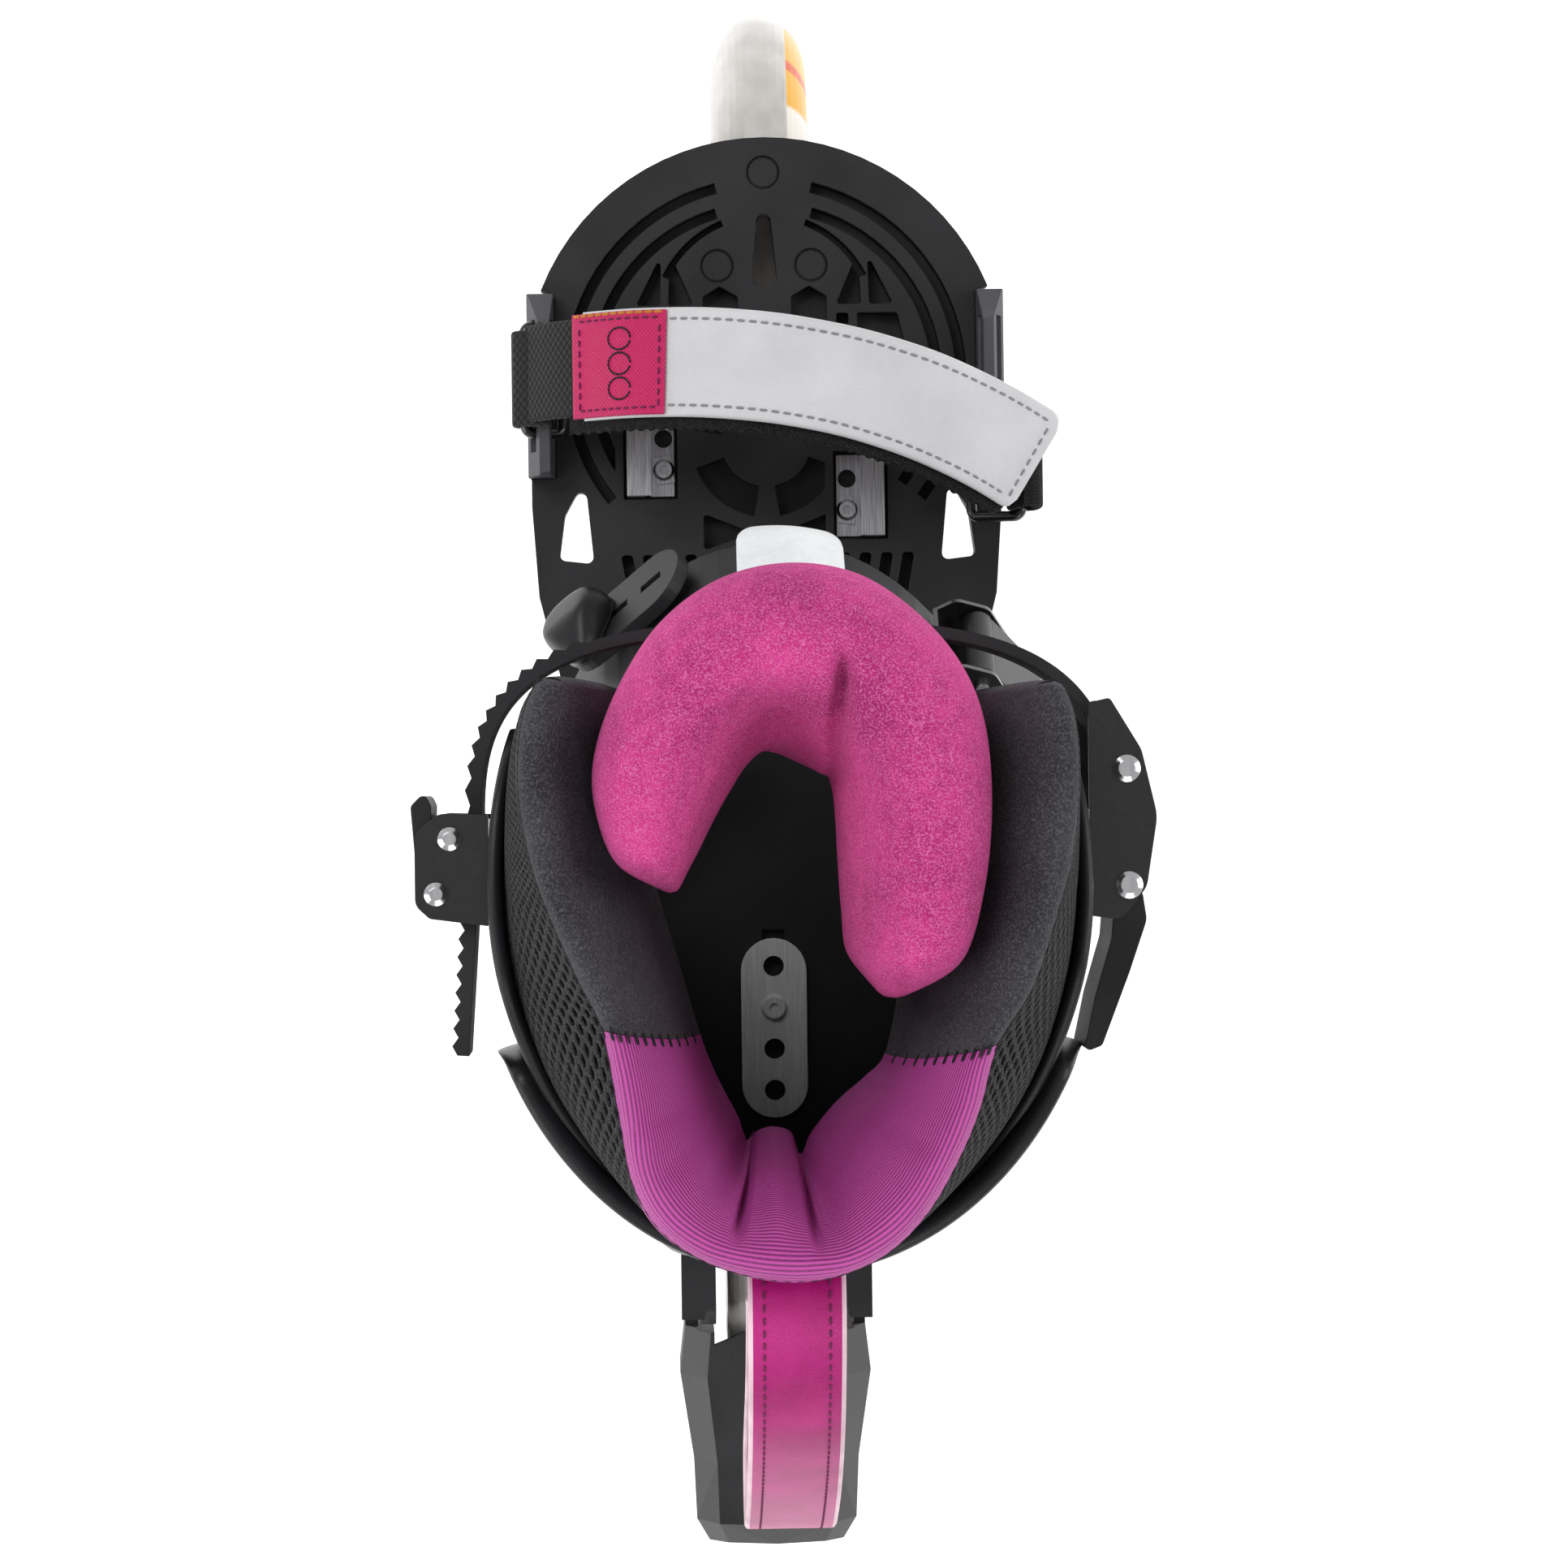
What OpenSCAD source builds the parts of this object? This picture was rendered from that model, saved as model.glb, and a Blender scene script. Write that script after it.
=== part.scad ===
// Three-wheel inline skate that straps over the wearer's own shoe.
// +Y points to the toe, +Z is up, and the origin is on the floor under the middle axle.

/* [Wheels] */
// Outer diameter of a wheel
wheel_d = 90; // [84:1:90]
// Width of a wheel across its hub
wheel_w = 24; // [22:1:24]
// Distance from the front axle to the rear axle
wheelbase = 260; // [256:1:266]

/* [Foot bed] */
// Height of the foot bed above the floor
bed_z = 104; // [104:1:106]
// Radius of the rounded toe end of the foot bed
toe_r = 59; // [58:0.5:60]
// Depth of the moulded pockets in the foot bed
pocket_depth = 6; // [3:0.5:6.5]

/* [Cuff] */
// Height of the plastic cuff shell above the floor
shell_top = 298; // [296:1:300]
// Height of the padded collar above the floor
collar_top = 335; // [325:1:340]

/* [Hidden] */

$fn = 48;
eps = 0.01;
axle_z = wheel_d / 2;
axle_y = [wheelbase / 2, 0, -wheelbase / 2];
axle_r = 4;
deck_z = 92;
plate_z = 96;
rail_in = 15;
rail_out = 19;
shoulder_out = 23.5;
pivot = [-85, 185];
size_screw_y = -74.9;
plastic = "#1d1d1f";
steel = "#b9babc";
pink = "#c52a86";

// ---- helpers ----

// Corner p[i] of a closed outline, rounded by its own radius (third value) with a short arc.
function corner(p, i) =
    let (n = len(p), b = p[i], a = p[(i + n - 1) % n], c = p[(i + 1) % n],
        r = b[2] == undef ? 0 : b[2],
        u = [a.x - b.x, a.y - b.y] / norm([a.x - b.x, a.y - b.y]),
        v = [c.x - b.x, c.y - b.y] / norm([c.x - b.x, c.y - b.y]),
        half = acos(max(-1, min(1, u * v))) / 2)
    r <= 0 ? [[b.x, b.y]] :
    let (d = r / tan(half), s = [b.x, b.y] + u * d, e = [b.x, b.y] + v * d,
        m = [b.x, b.y] + (u + v) / norm(u + v) * (r / sin(half)),
        a0 = atan2(s.y - m.y, s.x - m.x), a1 = atan2(e.y - m.y, e.x - m.x),
        sweep = a1 - a0 > 180 ? a1 - a0 - 360 : a1 - a0 < -180 ? a1 - a0 + 360 : a1 - a0)
    [for (k = [0:4]) m + r * [cos(a0 + sweep * k / 4), sin(a0 + sweep * k / 4)]];

// Outline with every corner rounded by its third value.
function rounded(p) = [for (i = [0:len(p) - 1]) each corner(p, i)];

// Points of an arc about c from angle a0 to a1.
function arc(c, r, a0, a1, n = 24) = [for (k = [0:n]) c + r * [cos(a0 + (a1 - a0) * k / n),
    sin(a0 + (a1 - a0) * k / n)]];

// Ring segment, w wide, about c from angle a0 to a1.
module arc_band(c, r, w, a0, a1)
    polygon(concat(arc(c, r + w / 2, a0, a1), arc(c, r - w / 2, a1, a0)));

// Extrusion along X of an outline drawn in Y and Z, from x0 to x1.
module along_x(x0, x1)
    translate([x0, 0, 0]) multmatrix([[0, 0, 1, 0], [1, 0, 0, 0], [0, 1, 0, 0], [0, 0, 0, 1]])
        linear_extrude(x1 - x0) children();

// Extrusion along Y of an outline drawn in X and Z, from y0 to y1.
module along_y(y0, y1)
    translate([0, y1, 0]) multmatrix([[1, 0, 0, 0], [0, 0, -1, 0], [0, 1, 0, 0], [0, 0, 0, 1]])
        linear_extrude(y1 - y0) children();

// Cylinder along X from x0 to x1 about the line at y, z.
module rod_x(x0, x1, y, z, r)
    translate([x0, y, z]) rotate([0, 90, 0]) cylinder(h = x1 - x0, r = r);

module both_sides() {
    children();
    mirror([1, 0, 0]) children();
}

// Closed sheet between an outer and an inner surface, each a function of u and v from 0 to 1.
module skin(nu, nv, outer, inner) {
    row = nv + 1;
    half = (nu + 1) * row;
    points = concat([for (i = [0:nu], j = [0:nv]) outer(i / nu, j / nv)],
        [for (i = [0:nu], j = [0:nv]) inner(i / nu, j / nv)]);
    at = function (i, j, side) side * half + i * row + j;
    two = function (a, b, c, d) [[a, b, c], [a, c, d]];
    faces = [
        for (i = [0:nu - 1], j = [0:nv - 1]) each concat(
            two(at(i, j, 0), at(i, j + 1, 0), at(i + 1, j + 1, 0), at(i + 1, j, 0)),
            two(at(i, j, 1), at(i + 1, j, 1), at(i + 1, j + 1, 1), at(i, j + 1, 1))),
        for (i = [0:nu - 1]) each concat(
            two(at(i, 0, 0), at(i + 1, 0, 0), at(i + 1, 0, 1), at(i, 0, 1)),
            two(at(i, nv, 0), at(i, nv, 1), at(i + 1, nv, 1), at(i + 1, nv, 0))),
        for (j = [0:nv - 1]) each concat(
            two(at(0, j, 0), at(0, j, 1), at(0, j + 1, 1), at(0, j + 1, 0)),
            two(at(nu, j, 0), at(nu, j + 1, 0), at(nu, j + 1, 1), at(nu, j, 1)))];
    polyhedron(points, faces);
}

// U-shaped plan curve, s from -1 at the left front, round the back, to 1 at the right front.
// a and b are the half axes of the back, yc its widest line, run the length of each side,
// and tuck how far the front ends turn in, as a share of a.
function u_path(s, a, b, yc, run, tuck) =
    abs(s) <= 0.5 ? [a * sin(180 * s), yc - b * cos(180 * s)] :
    let (q = 2 * abs(s) - 1) [sign(s) * a * (1 - tuck * q * q), yc + run * q];

// ---- wheels ----

module tyre(y) color("#e9e6e2") translate([0, y, axle_z]) rotate([0, 90, 0])
    rotate_extrude($fn = 96) polygon(concat([[22, -9.5], [26, -11.5]],
        [for (t = [-90:10:90]) [axle_z - 15 + 15 * cos(t), wheel_w / 2 * sin(t)]],
        [[26, 11.5], [22, 9.5]]));

module hub(y) color("#f4f2ee") translate([0, y, axle_z]) rotate([0, 90, 0]) difference() {
    union() {
        rotate_extrude($fn = 72) polygon([[19, -8], [21.98, -9.4], [21.98, 9.4], [19, 8]]);
        rotate_extrude($fn = 72) polygon([[9.6, -4.9], [11.02, -4.9], [11.02, -12], [14, -12],
            [14.5, -10], [14.5, 10], [14, 12], [11.02, 12], [11.02, 4.9], [9.6, 4.9]]);
        for (k = [0:5]) rotate([0, 0, 60 * k]) translate([14.2, -2, -6]) cube([5.2, 4, 12]);
    }
    for (k = [0:5]) rotate([0, 0, 60 * k + 30]) translate([16.7, 0, -20]) cylinder(h = 40, r = 0.8);
}

// Outer race with its shield, one each side of the hub.
module bearings(y) color(steel) for (s = [-1, 1])
    translate([0, y, axle_z]) rotate([0, 90, 0]) scale([1, 1, s]) rotate_extrude($fn = 64)
        polygon([[9.2, 5], [11, 5], [11, 12], [9.2, 12], [9.2, 11.6], [6.4, 11.6], [6.4, 11],
            [9.2, 11]]);

// Inner races and the spacer between them, which stay on the axle.
module bearing_sleeves() color(steel) for (y = axle_y)
    translate([0, y, axle_z]) rotate([0, 90, 0]) rotate_extrude($fn = 64)
        polygon([[axle_r + 0.03, -12.1], [6.1, -12.1], [6.1, -5], [5.4, -5], [5.4, 5], [6.1, 5],
            [6.1, 12.1], [axle_r + 0.03, 12.1]]);

// Bolt from the right side, with a button head and a hexagon socket.
function seat(y) = y < -1 ? 22.7 : rail_out + 0.1;
module axles() color(steel) for (y = axle_y) difference() {
    union() {
        rod_x(-14, seat(y) + 1, y, axle_z, axle_r);
        rod_x(seat(y), seat(y) + 1.6, y, axle_z, 7.2);
        translate([seat(y) + 1.6, y, axle_z]) rotate([0, 90, 0]) cylinder(h = 1.4, r1 = 7.2, r2 = 5);
    }
    translate([seat(y) + 1, y, axle_z]) rotate([0, 90, 0]) cylinder(h = 3, r = 2.3, $fn = 6);
}

module axle_nuts() color(steel) for (y = axle_y) difference() {
    union() {
        rod_x(-seat(y) - 1, -14.2, y, axle_z, axle_r);
        rod_x(-seat(y) - 2, -seat(y), y, axle_z, 7.2);
    }
    translate([-seat(y) - 2.5, y, axle_z]) rotate([0, 90, 0]) cylinder(h = 2.5, r = 2.3, $fn = 6);
}

// ---- chassis ----

// Side view of one rail: a beam with a leg down to each axle.
module rail_outline() {
    difference() {
        union() {
            polygon(rounded([[134, plate_z, 1], [136, 84, 6], [139.5, 58, 10], [140.5, 40, 10],
                [130, 34, 8], [117, 38, 8], [104, 66, 12], [28, 68, 12], [11, 38, 8], [0, 33, 8],
                [-11, 38, 8], [-28, 68, 12], [-100, 68, 12], [-116, 40, 8], [-128, 33, 8],
                [-141, 38, 8], [-152, 66, 6], [-154, 88, 3], [-150, plate_z, 1]]));
        }
        for (s = [-1, 1]) polygon(rounded([[s * 94, 88, 2], [s * 90, 76, 3], [s * 60, 76, 3],
            [s * 68, 88, 2]]));
        for (s = [-1, 1]) polygon(rounded([[s * 60, 88, 2], [s * 52, 76, 3], [s * 36, 76, 3],
            [s * 32, 88, 2]]));
        polygon(rounded([[-7, 86, 2], [7, 86, 2], [11, 70, 3], [0, 62, 3], [-11, 70, 3]]));
    }
}

module rail() difference() {
    union() {
        along_x(rail_in, rail_out) rail_outline();
        along_y(-152, 118) polygon([[rail_out - 1, plate_z], [shoulder_out, plate_z],
            [shoulder_out, 91], [rail_out, 82], [rail_out - 1, 82]]);
        for (y = axle_y) rod_x(12.35, rail_in + 1, y, axle_z, 7.5);
        for (y = axle_y) rod_x(rail_out - 1, rail_out, y, axle_z, 9.5);
    }
    for (y = axle_y) rod_x(10, 30, y, axle_z, axle_r + 0.05);
    for (y = [-40, 40, 88]) rod_x(rail_out - 0.8, 30, y, 71.5, 1.8);
}

module chassis() color(plastic) {
    difference() {
        union() {
            both_sides() rail();
            translate([-rail_in - 1, -112, deck_z]) cube([2 * rail_in + 2, 236, plate_z - deck_z]);
            for (y = [-64, 64]) translate([-rail_in - 1, y - 2, 76])
                cube([2 * rail_in + 2, 4, plate_z - 77]);
        }
        translate([-3.2, 96, deck_z - 5]) cube([6.4, 24, 12]);
        translate([0, size_screw_y, deck_z - 5]) cylinder(h = 12, r = 2.3);
    }
}

// ---- foot bed ----

toe_c = [0, 79];

// Half outline of the foot bed, from the toe to the heel, on the right side.
function bed_half() = concat(
    arc(toe_c, toe_r, 90, 22, 14),
    [[51.5, 100], [51.5, 55], [57.5, 55], [57.5, 48], [56, 26], [51, 6], [46.5, -30], [46, -70]],
    [for (t = [0:10:90]) [46 * cos(t), -88 - 46 * sin(t)]]);

module bed_outline() {
    half = bed_half();
    polygon(concat(half, [for (i = [len(half) - 2:-1:1]) [-half[i].x, half[i].y]]));
}

// One side's window beside the arm.
module side_window() polygon(rounded([[44.5, 55, 1.5], [49.5, 46, 4], [51, 35, 1.5],
    [42.5, 34, 1.5]]));

// Moulded pockets, on the right half.
module half_pockets() {
    arc_band(toe_c, 48, 2.6, 76, -38);
    arc_band(toe_c, 42, 2.6, 74, -38);
    arc_band([0, 92], 27, 1.6, 68, 26);
    polygon(rounded([[17.5, 97, 0.6], [23, 110, 0.6], [23.6, 97, 0.6]]));
    polygon(rounded([[25.6, 97, 0.6], [25.2, 109.5, 0.6], [31.5, 97, 0.6]]));
    polygon(rounded([[17.5, 94.8, 0.6], [20.5, 94.8, 0.6], [20.5, 90.4, 0.6], [17.5, 90.4, 0.6]]));
    polygon(rounded([[22.6, 94.8, 0.6], [32.5, 94.8, 0.8], [35, 84, 0.8], [22.6, 84, 0.6]]));
    polygon(rounded([[6.5, 99, 0.8], [6.5, 84, 0.8], [15.2, 84, 0.8], [15.2, 99, 0.8],
        [11, 101.6, 0.8]]));
    for (a = [10, 100]) arc_band([0, 63.4], 14.6, 7.4, a - 90, a - 30);
    polygon(rounded([[3.5, 41.2, 0.6], [15.6, 46, 0.8], [15.6, 37, 0.8]]));
    for (k = [0:3]) polygon(rounded([[17.5 + 5.2 * k, 36, 0.8], [20.3 + 5.2 * k, 36, 0.8],
        [15.3 + 4.9 * k, 4, 0.8], [12.5 + 4.9 * k, 4, 0.8]]));
}

// Seat for a width bracket, centred on c.
module bracket_seat(c, size) translate([c.x - size.x / 2 - 0.8, c.y - size.y / 2 - 0.8])
    square([size.x + 1.6, size.y + 1.6]);

left_seat = [-28.4, 60.5];
right_seat = [22.9, 50.2];
seat_size = [11.6, 20];
screw_in = 3.2;

module footplate() color(plastic) difference() {
    translate([0, 0, plate_z]) linear_extrude(bed_z - plate_z) bed_outline();
    both_sides() translate([0, 0, plate_z - 1]) linear_extrude(12) side_window();
    translate([0, 0, bed_z - pocket_depth]) linear_extrude(10) difference() {
        union() {
            half_pockets();
            mirror([1, 0, 0]) half_pockets();
            bracket_seat(left_seat, seat_size);
            bracket_seat(right_seat, seat_size);
        }
        for (c = [left_seat, right_seat]) difference() {
            bracket_seat(c, seat_size + [4, 4]);
            bracket_seat(c, seat_size);
        }
    }
    translate([0, 0, plate_z - 1]) linear_extrude(12)
        polygon(concat(arc([0, 104], 3.1, 180, 360, 12), arc([0, 117.4], 1.8, 0, 180, 8)));
    for (p = [[0, 129.4], [-11.5, 106.6], [11.5, 106.6]])
        translate([p.x, p.y, bed_z - 2]) cylinder(h = 5, r = 4.1);
    translate([0, size_screw_y, plate_z - 1]) cylinder(h = 12, r = 2.3);
    for (e = [[left_seat, -1], [right_seat, 1]])
        translate([e[0].x - e[1] * screw_in, e[0].y - 3.5, plate_z - 1]) cylinder(h = 4, r = 2.15);
}

module plate_plugs() color("#26262a") for (p = [[0, 129.4], [-11.5, 106.6], [11.5, 106.6]])
    translate([p.x, p.y, bed_z - 2]) {
        cylinder(h = 1.2, r = 4.05);
        cylinder(h = 1.5, r = 3.6);
    }

// Bevelled side wall that keeps the shoe on the bed.
module wing() difference() {
    along_y(55.1, 99.8) polygon([[51.6, plate_z], [57.5, plate_z - 3], [58.2, 108], [55.2, 119],
        [52.6, 120], [51.7, 110]]);
    translate([50, 104, 104]) rotate([38, 0, 0]) cube([12, 20, 30]);
    translate([50, 52, 121]) rotate([-30, 0, 0]) translate([0, -20, 0]) cube([12, 24, 20]);
    translate([50, 61, 110.6]) cube([12, 32, 5.2]);
}

module left_wing() color("#2a2a2d") mirror([1, 0, 0]) wing();
module right_wing() color("#2a2a2d") wing();

// Steel clamp plate, with one edge folded up and out into a step.
module wing_bracket(c, size, out) translate([c.x, c.y, bed_z - pocket_depth]) difference() {
    union() {
        translate([-size.x / 2, -size.y / 2, 0]) cube([size.x, size.y, 1.5]);
        translate([out > 0 ? size.x / 2 - 5.8 : -size.x / 2 + 4.6, -size.y / 2, 0])
            cube([1.2, size.y, 7.5]);
        translate([out > 0 ? size.x / 2 - 5.8 : -size.x / 2, -size.y / 2, 6.3])
            cube([5.8, size.y, 1.5]);
    }
    translate([-out * screw_in, -3.5, -1]) cylinder(h = 4, r = 2.1);
    translate([-out * screw_in, 4.2, -1]) cylinder(h = 4, r = 2.2);
}

module left_wing_bracket() color(steel) wing_bracket(left_seat, seat_size, -1);
module right_wing_bracket() color(steel) wing_bracket(right_seat, seat_size, 1);

// Screws and their square washers.
module bracket_screws() color("#cfd0d2") for (e = [[left_seat, -1, 8], [right_seat, 1, -6]])
    translate([e[0].x - e[1] * screw_in, e[0].y - 3.5, bed_z - pocket_depth]) {
        difference() {
            union() {
                translate([0, 0, -1.8]) cylinder(h = 3.4, r = 2);
                translate([0, 0, 1.5]) rotate([0, 0, e[2]]) translate([-2.3, -3.4, 0])
                    cube([4.6, 6.8, 0.9]);
                translate([0, 0, 2.4 - eps]) cylinder(h = 1.5, r1 = 2.6, r2 = 2);
            }
            translate([0, 0, 2.9]) cylinder(h = 2, r = 1.1, $fn = 6);
        }
    }

// ---- toe strap ----

// Wire loop round the wing's top bar or rear post: x and y of its middle, half its width.
module wire_loop(side, x, y, half) translate([side * x, y, 113.6]) rotate([0, -side * 15, 0]) {
    straight = half - 2;
    for (k = [-1, 1]) {
        translate([k * half, -11, 0]) rotate([-90, 0, 0]) cylinder(h = 22, r = 1.3, $fn = 20);
        translate([-straight, 13 * k, 0]) rotate([0, 90, 0])
            cylinder(h = 2 * straight, r = 1.3, $fn = 20);
        for (j = [-1, 1]) translate([straight * j, 11 * k, 0]) rotate([0, 0, j > 0 ? (k > 0 ? 0 : -90)
            : (k > 0 ? 90 : 180)]) rotate_extrude(angle = 90, $fn = 20) translate([2, 0])
            circle(r = 1.3);
    }
}

module strap_rings() color("#3a3a3d") {
    wire_loop(-1, 54.2, 78.5, 4.6);
    wire_loop(1, 55.6, 57, 6.2);
}

// Middle line of the toe strap over the shoe: u from 0 at the left to 1 at the right.
// The strap also runs back towards the heel on its right side.
strap_span = [-56, 64];
function strap_mid(u, lift) =
    let (x = strap_span[0] + (strap_span[1] - strap_span[0]) * u, q = abs(2 * u - 1),
        z = u < 0.5 ? 160 - 36 * pow(q, 2.6) : 160 - 22 * pow(q, 2.2))
    [x, 79.5 - 25 * pow(max(0, u - 0.12) / 0.88, 1.7), z + lift + 6 * u * (1 - u)];

function strap_face(u, v, lift, w) =
    let (m = strap_mid(u, lift), n = strap_mid(u + 0.01, lift),
        t = [n.x - m.x, n.y - m.y] / norm([n.x - m.x, n.y - m.y]))
    [m.x + t.y * (v - 0.5) * w, m.y - t.x * (v - 0.5) * w, m.z];

module strap_sheet(u0, u1, lift, thick, w, n)
    skin(n, 2, function (u, v) strap_face(u0 + (u1 - u0) * u, 1 - v, lift + thick, w),
        function (u, v) strap_face(u0 + (u1 - u0) * u, 1 - v, lift, w));

module toe_strap() color("#d4d4d5") strap_sheet(0.1, 1, 0, 2.6, 24.5, 22);

// Black webbing under the strap, and its loop through each ring.
module toe_webbing() color("#161616") {
    strap_sheet(0, 0.96, -3.4, 3.2, 24, 22);
    skin(10, 1, function (u, v) webbing_loop(u, v, -1, 2.2), function (u, v)
        webbing_loop(u, v, -1, 0));
    skin(10, 1, function (u, v) webbing_loop(u, 1 - v, 1, 2.2), function (u, v)
        webbing_loop(u, 1 - v, 1, 0));
}

// Turn of webbing round the outer bar of a ring. The right one rises to the end of the strap.
function webbing_loop(u, v, side, off) =
    let (r = 1.7 + off, c = side < 0 ? [58.6, 114.8] : [61.6, 115.2],
        y = (side < 0 ? 78.5 : 57) + (v - 0.5) * 21.6,
        a = side < 0 ? -70 + 240 * u : -70 + 160 * min(1, u / 0.6),
        rise = side < 0 ? 0 : 20.6 * max(0, (u - 0.6) / 0.4))
    [side * (c.x + r * sin(a)), y, c.y - r * cos(a) + rise];

module toe_patch() color(pink) strap_sheet(0.1, 0.285, 2.7, 0.8, 24.5, 8);

// ---- brake ----

// One slice of the faceted brake body at y: half width w, top and bottom heights.
function brake_ring(y, w, top, low) = [for (p = [[-w, low], [-w, (top + low) / 2 + 6],
    [-w * 0.72, top - 4], [0, top], [w * 0.72, top - 4], [w, (top + low) / 2 + 6], [w, low]])
    [p.x, y, p.y]];

module brake_carrier() color(plastic) difference() {
    union() {
        rings = [brake_ring(-156, 22.6, 88, 34), brake_ring(-168, 24, 86, 30),
            brake_ring(-190, 20.8, 80, 28), brake_ring(-206, 20.2, 72, 28),
            brake_ring(-212, 17, 62, 29)];
        for (i = [0:len(rings) - 2]) hull() polyhedron(concat(rings[i], rings[i + 1]),
            concat([[for (k = [0:6]) k]], [[for (k = [6:-1:0]) k + 7]],
                [for (k = [0:6]) [k, k + 7, (k + 1) % 7 + 7, (k + 1) % 7]]));
        both_sides() along_x(19.4, 22.6) polygon(rounded([[-158, 70, 2], [-158, 34, 2],
            [-128, 36, 8], [-121, 45, 8], [-130, 55, 8], [-150, 62, 6]]));
    }
    rod_x(-15.4, 15.4, axle_y[2], axle_z, axle_z + 3.5);
    along_x(-15.4, 15.4) polygon([[-110, 30], [-150, 20], [-150, 100], [-110, 100]]);
    both_sides() along_x(14, 19.4) polygon([[-100, 20], [-156.5, 20], [-156.5, 100], [-100, 100]]);
    rod_x(-30, 30, axle_y[2], axle_z, axle_r + 0.05);
    translate([0, -196, 20]) cylinder(h = 14, r = 3.2);
}

module brake_pad() color("#141414") difference() {
    along_x(-13, 13) polygon(rounded([[-184, 30, 1], [-186, 14, 3], [-196, 7, 4], [-213, 9, 4],
        [-216, 27.9, 2], [-200, 27.9, 0], [-186, 27.9, 1]]));
    for (x = [-6.5, 0, 6.5]) translate([x - 0.8, -220, 5]) cube([1.6, 40, 5]);
    translate([0, -196, 0]) cylinder(h = 50, r = 3.2);
}

module brake_screw() color(steel) difference() {
    translate([0, -196, 12]) {
        cylinder(h = 21.5, r = 3);
        cylinder(h = 3, r = 3.1);
    }
    translate([0, -196, 10]) cylinder(h = 4.5, r = 1.5, $fn = 6);
}

// ---- heel cup ----

cup_out = 49;

module heel_base() color(plastic) difference() {
    translate([0, 0, bed_z]) linear_extrude(2.4) polygon(concat(
        [[45.8, -24], [45.8, -80]], [for (t = [0:10:180]) [45.8 * cos(t), -88 - 45.6 * sin(t)]],
        [[-45.8, -80], [-45.8, -24], [-14, -14], [14, -14]]));
    translate([-2.7, -102, bed_z - 1]) cube([5.4, 46, 6]);
}

// Top edge of the heel cup: high over the pivots, lower at the back and the front.
function cup_top(s) = let (q = abs(s))
    q < 0.5 ? 172 + 30 * pow(sin(180 * q), 3) : 202 - 62 * pow((q - 0.5) * 2, 1.4);

function cup_point(s, z, off) =
    let (f = (z - bed_z) / 100, p = u_path(s, cup_out - 3 + 3 * min(1, f * 3) - off,
        48.5 + 1.5 * f - off, pivot[0], 62, 0))
    [p.x, p.y, z];

module heel_cup() color(plastic)
    skin(40, 6, function (u, v) cup_point(2 * u - 1, bed_z + 2.4
            + (cup_top(2 * u - 1) - bed_z - 2.4) * v, 0),
        function (u, v) cup_point(2 * u - 1, bed_z + 2.4
            + (cup_top(2 * u - 1) - bed_z - 2.4) * v, 3));

module size_strip() color("#c6c7c9") difference() {
    translate([0, 0, bed_z + 2.4]) linear_extrude(1.6) polygon(concat(
        arc([0, -66], 8, 0, 180, 16), arc([0, -93.8], 8, 180, 360, 16)));
    for (k = [0:3]) translate([0, -64.8 - 10.1 * k, bed_z]) cylinder(h = 6, r = k == 1 ? 2.2 : 2.5);
}

module size_screw() color(steel) difference() {
    translate([0, size_screw_y, 0]) {
        translate([0, 0, deck_z]) cylinder(h = bed_z + 4.1 - deck_z, r = 2.1);
        translate([0, 0, bed_z + 4]) cylinder(h = 1.6, r1 = 3.3, r2 = 2.6);
    }
    translate([0, size_screw_y, bed_z + 4.8]) cylinder(h = 3, r = 1.2, $fn = 6);
}

// Hinge pins, moulded into the heel cup, with their caps.
module pivot_pins() color("#303034") both_sides() {
    rod_x(cup_out - 2, 56, pivot[0], pivot[1], 5);
    rod_x(55.6, 58, pivot[0], pivot[1], 9);
}

module heel_liner() color("#202022")
    skin(30, 2, function (u, v) cup_point((2 * u - 1) * 0.92, bed_z + 2.6
            + (min(174, cup_top((2 * u - 1) * 0.92)) - 6 - bed_z) * v, 3.3),
        function (u, v) cup_point((2 * u - 1) * 0.92, bed_z + 2.6
            + (min(174, cup_top((2 * u - 1) * 0.92)) - 6 - bed_z) * v, 8));

// ---- instep strap ----

// The band is an elliptical cylinder whose axis leans back by strap_lean from upright.
strap_lean = atan(0.75);
band_a = 57;
band_b = 89;
band_q = 48;
band_h = [123, 155];

module in_band() rotate([strap_lean, 0, 0]) children();

function band_curve(off, w0, w1, n) = [for (k = [0:n]) let (w = w0 + (w1 - w0) * k / n)
    [(band_a + off) * sin(w), band_q + (band_b + off) * cos(w)]];

// Band from angle w0 to w1 between two offsets, from height h0 to h1 along the axis.
module band(o0, o1, w0, w1, h0, h1, n = 40) in_band() translate([0, 0, h0])
    linear_extrude(h1 - h0) polygon(concat(band_curve(o1, w0, w1, n), band_curve(o0, w1, w0, n)));

// Local frame on the band's outside: x to the wearer's left, y up the band, z outwards.
module on_band(w, h) in_band() {
    g = [sin(w) / band_a, cos(w) / band_b];
    n = g / norm(g);
    multmatrix([[-n.y, 0, n.x, band_a * sin(w)], [n.x, 0, n.y, band_q + band_b * cos(w)],
        [0, 1, 0, h], [0, 0, 0, 1]]) children();
}

bolt_at = [-60, 129];
module instep_strap() color("#2b2b2e") difference() {
    band(-2.6, 0, -106, 106, band_h[0], band_h[1], 48);
    rod_x(-70, 70, bolt_at[0], bolt_at[1], 2.7);
}
module instep_pad() color("#1a1a1b") band(-8.6, -2.7, -62, 62, band_h[0] + 2, band_h[1] - 2, 30);

module instep_shield() color("#eef0f1") {
    band(0.1, 2.6, -8.5, 15.5, band_h[0] - 2, band_h[1] + 3, 12);
    band(-2.4, 2.6, -8.5, 15.5, band_h[1] + 0.3, band_h[1] + 3, 12);
}

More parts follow.
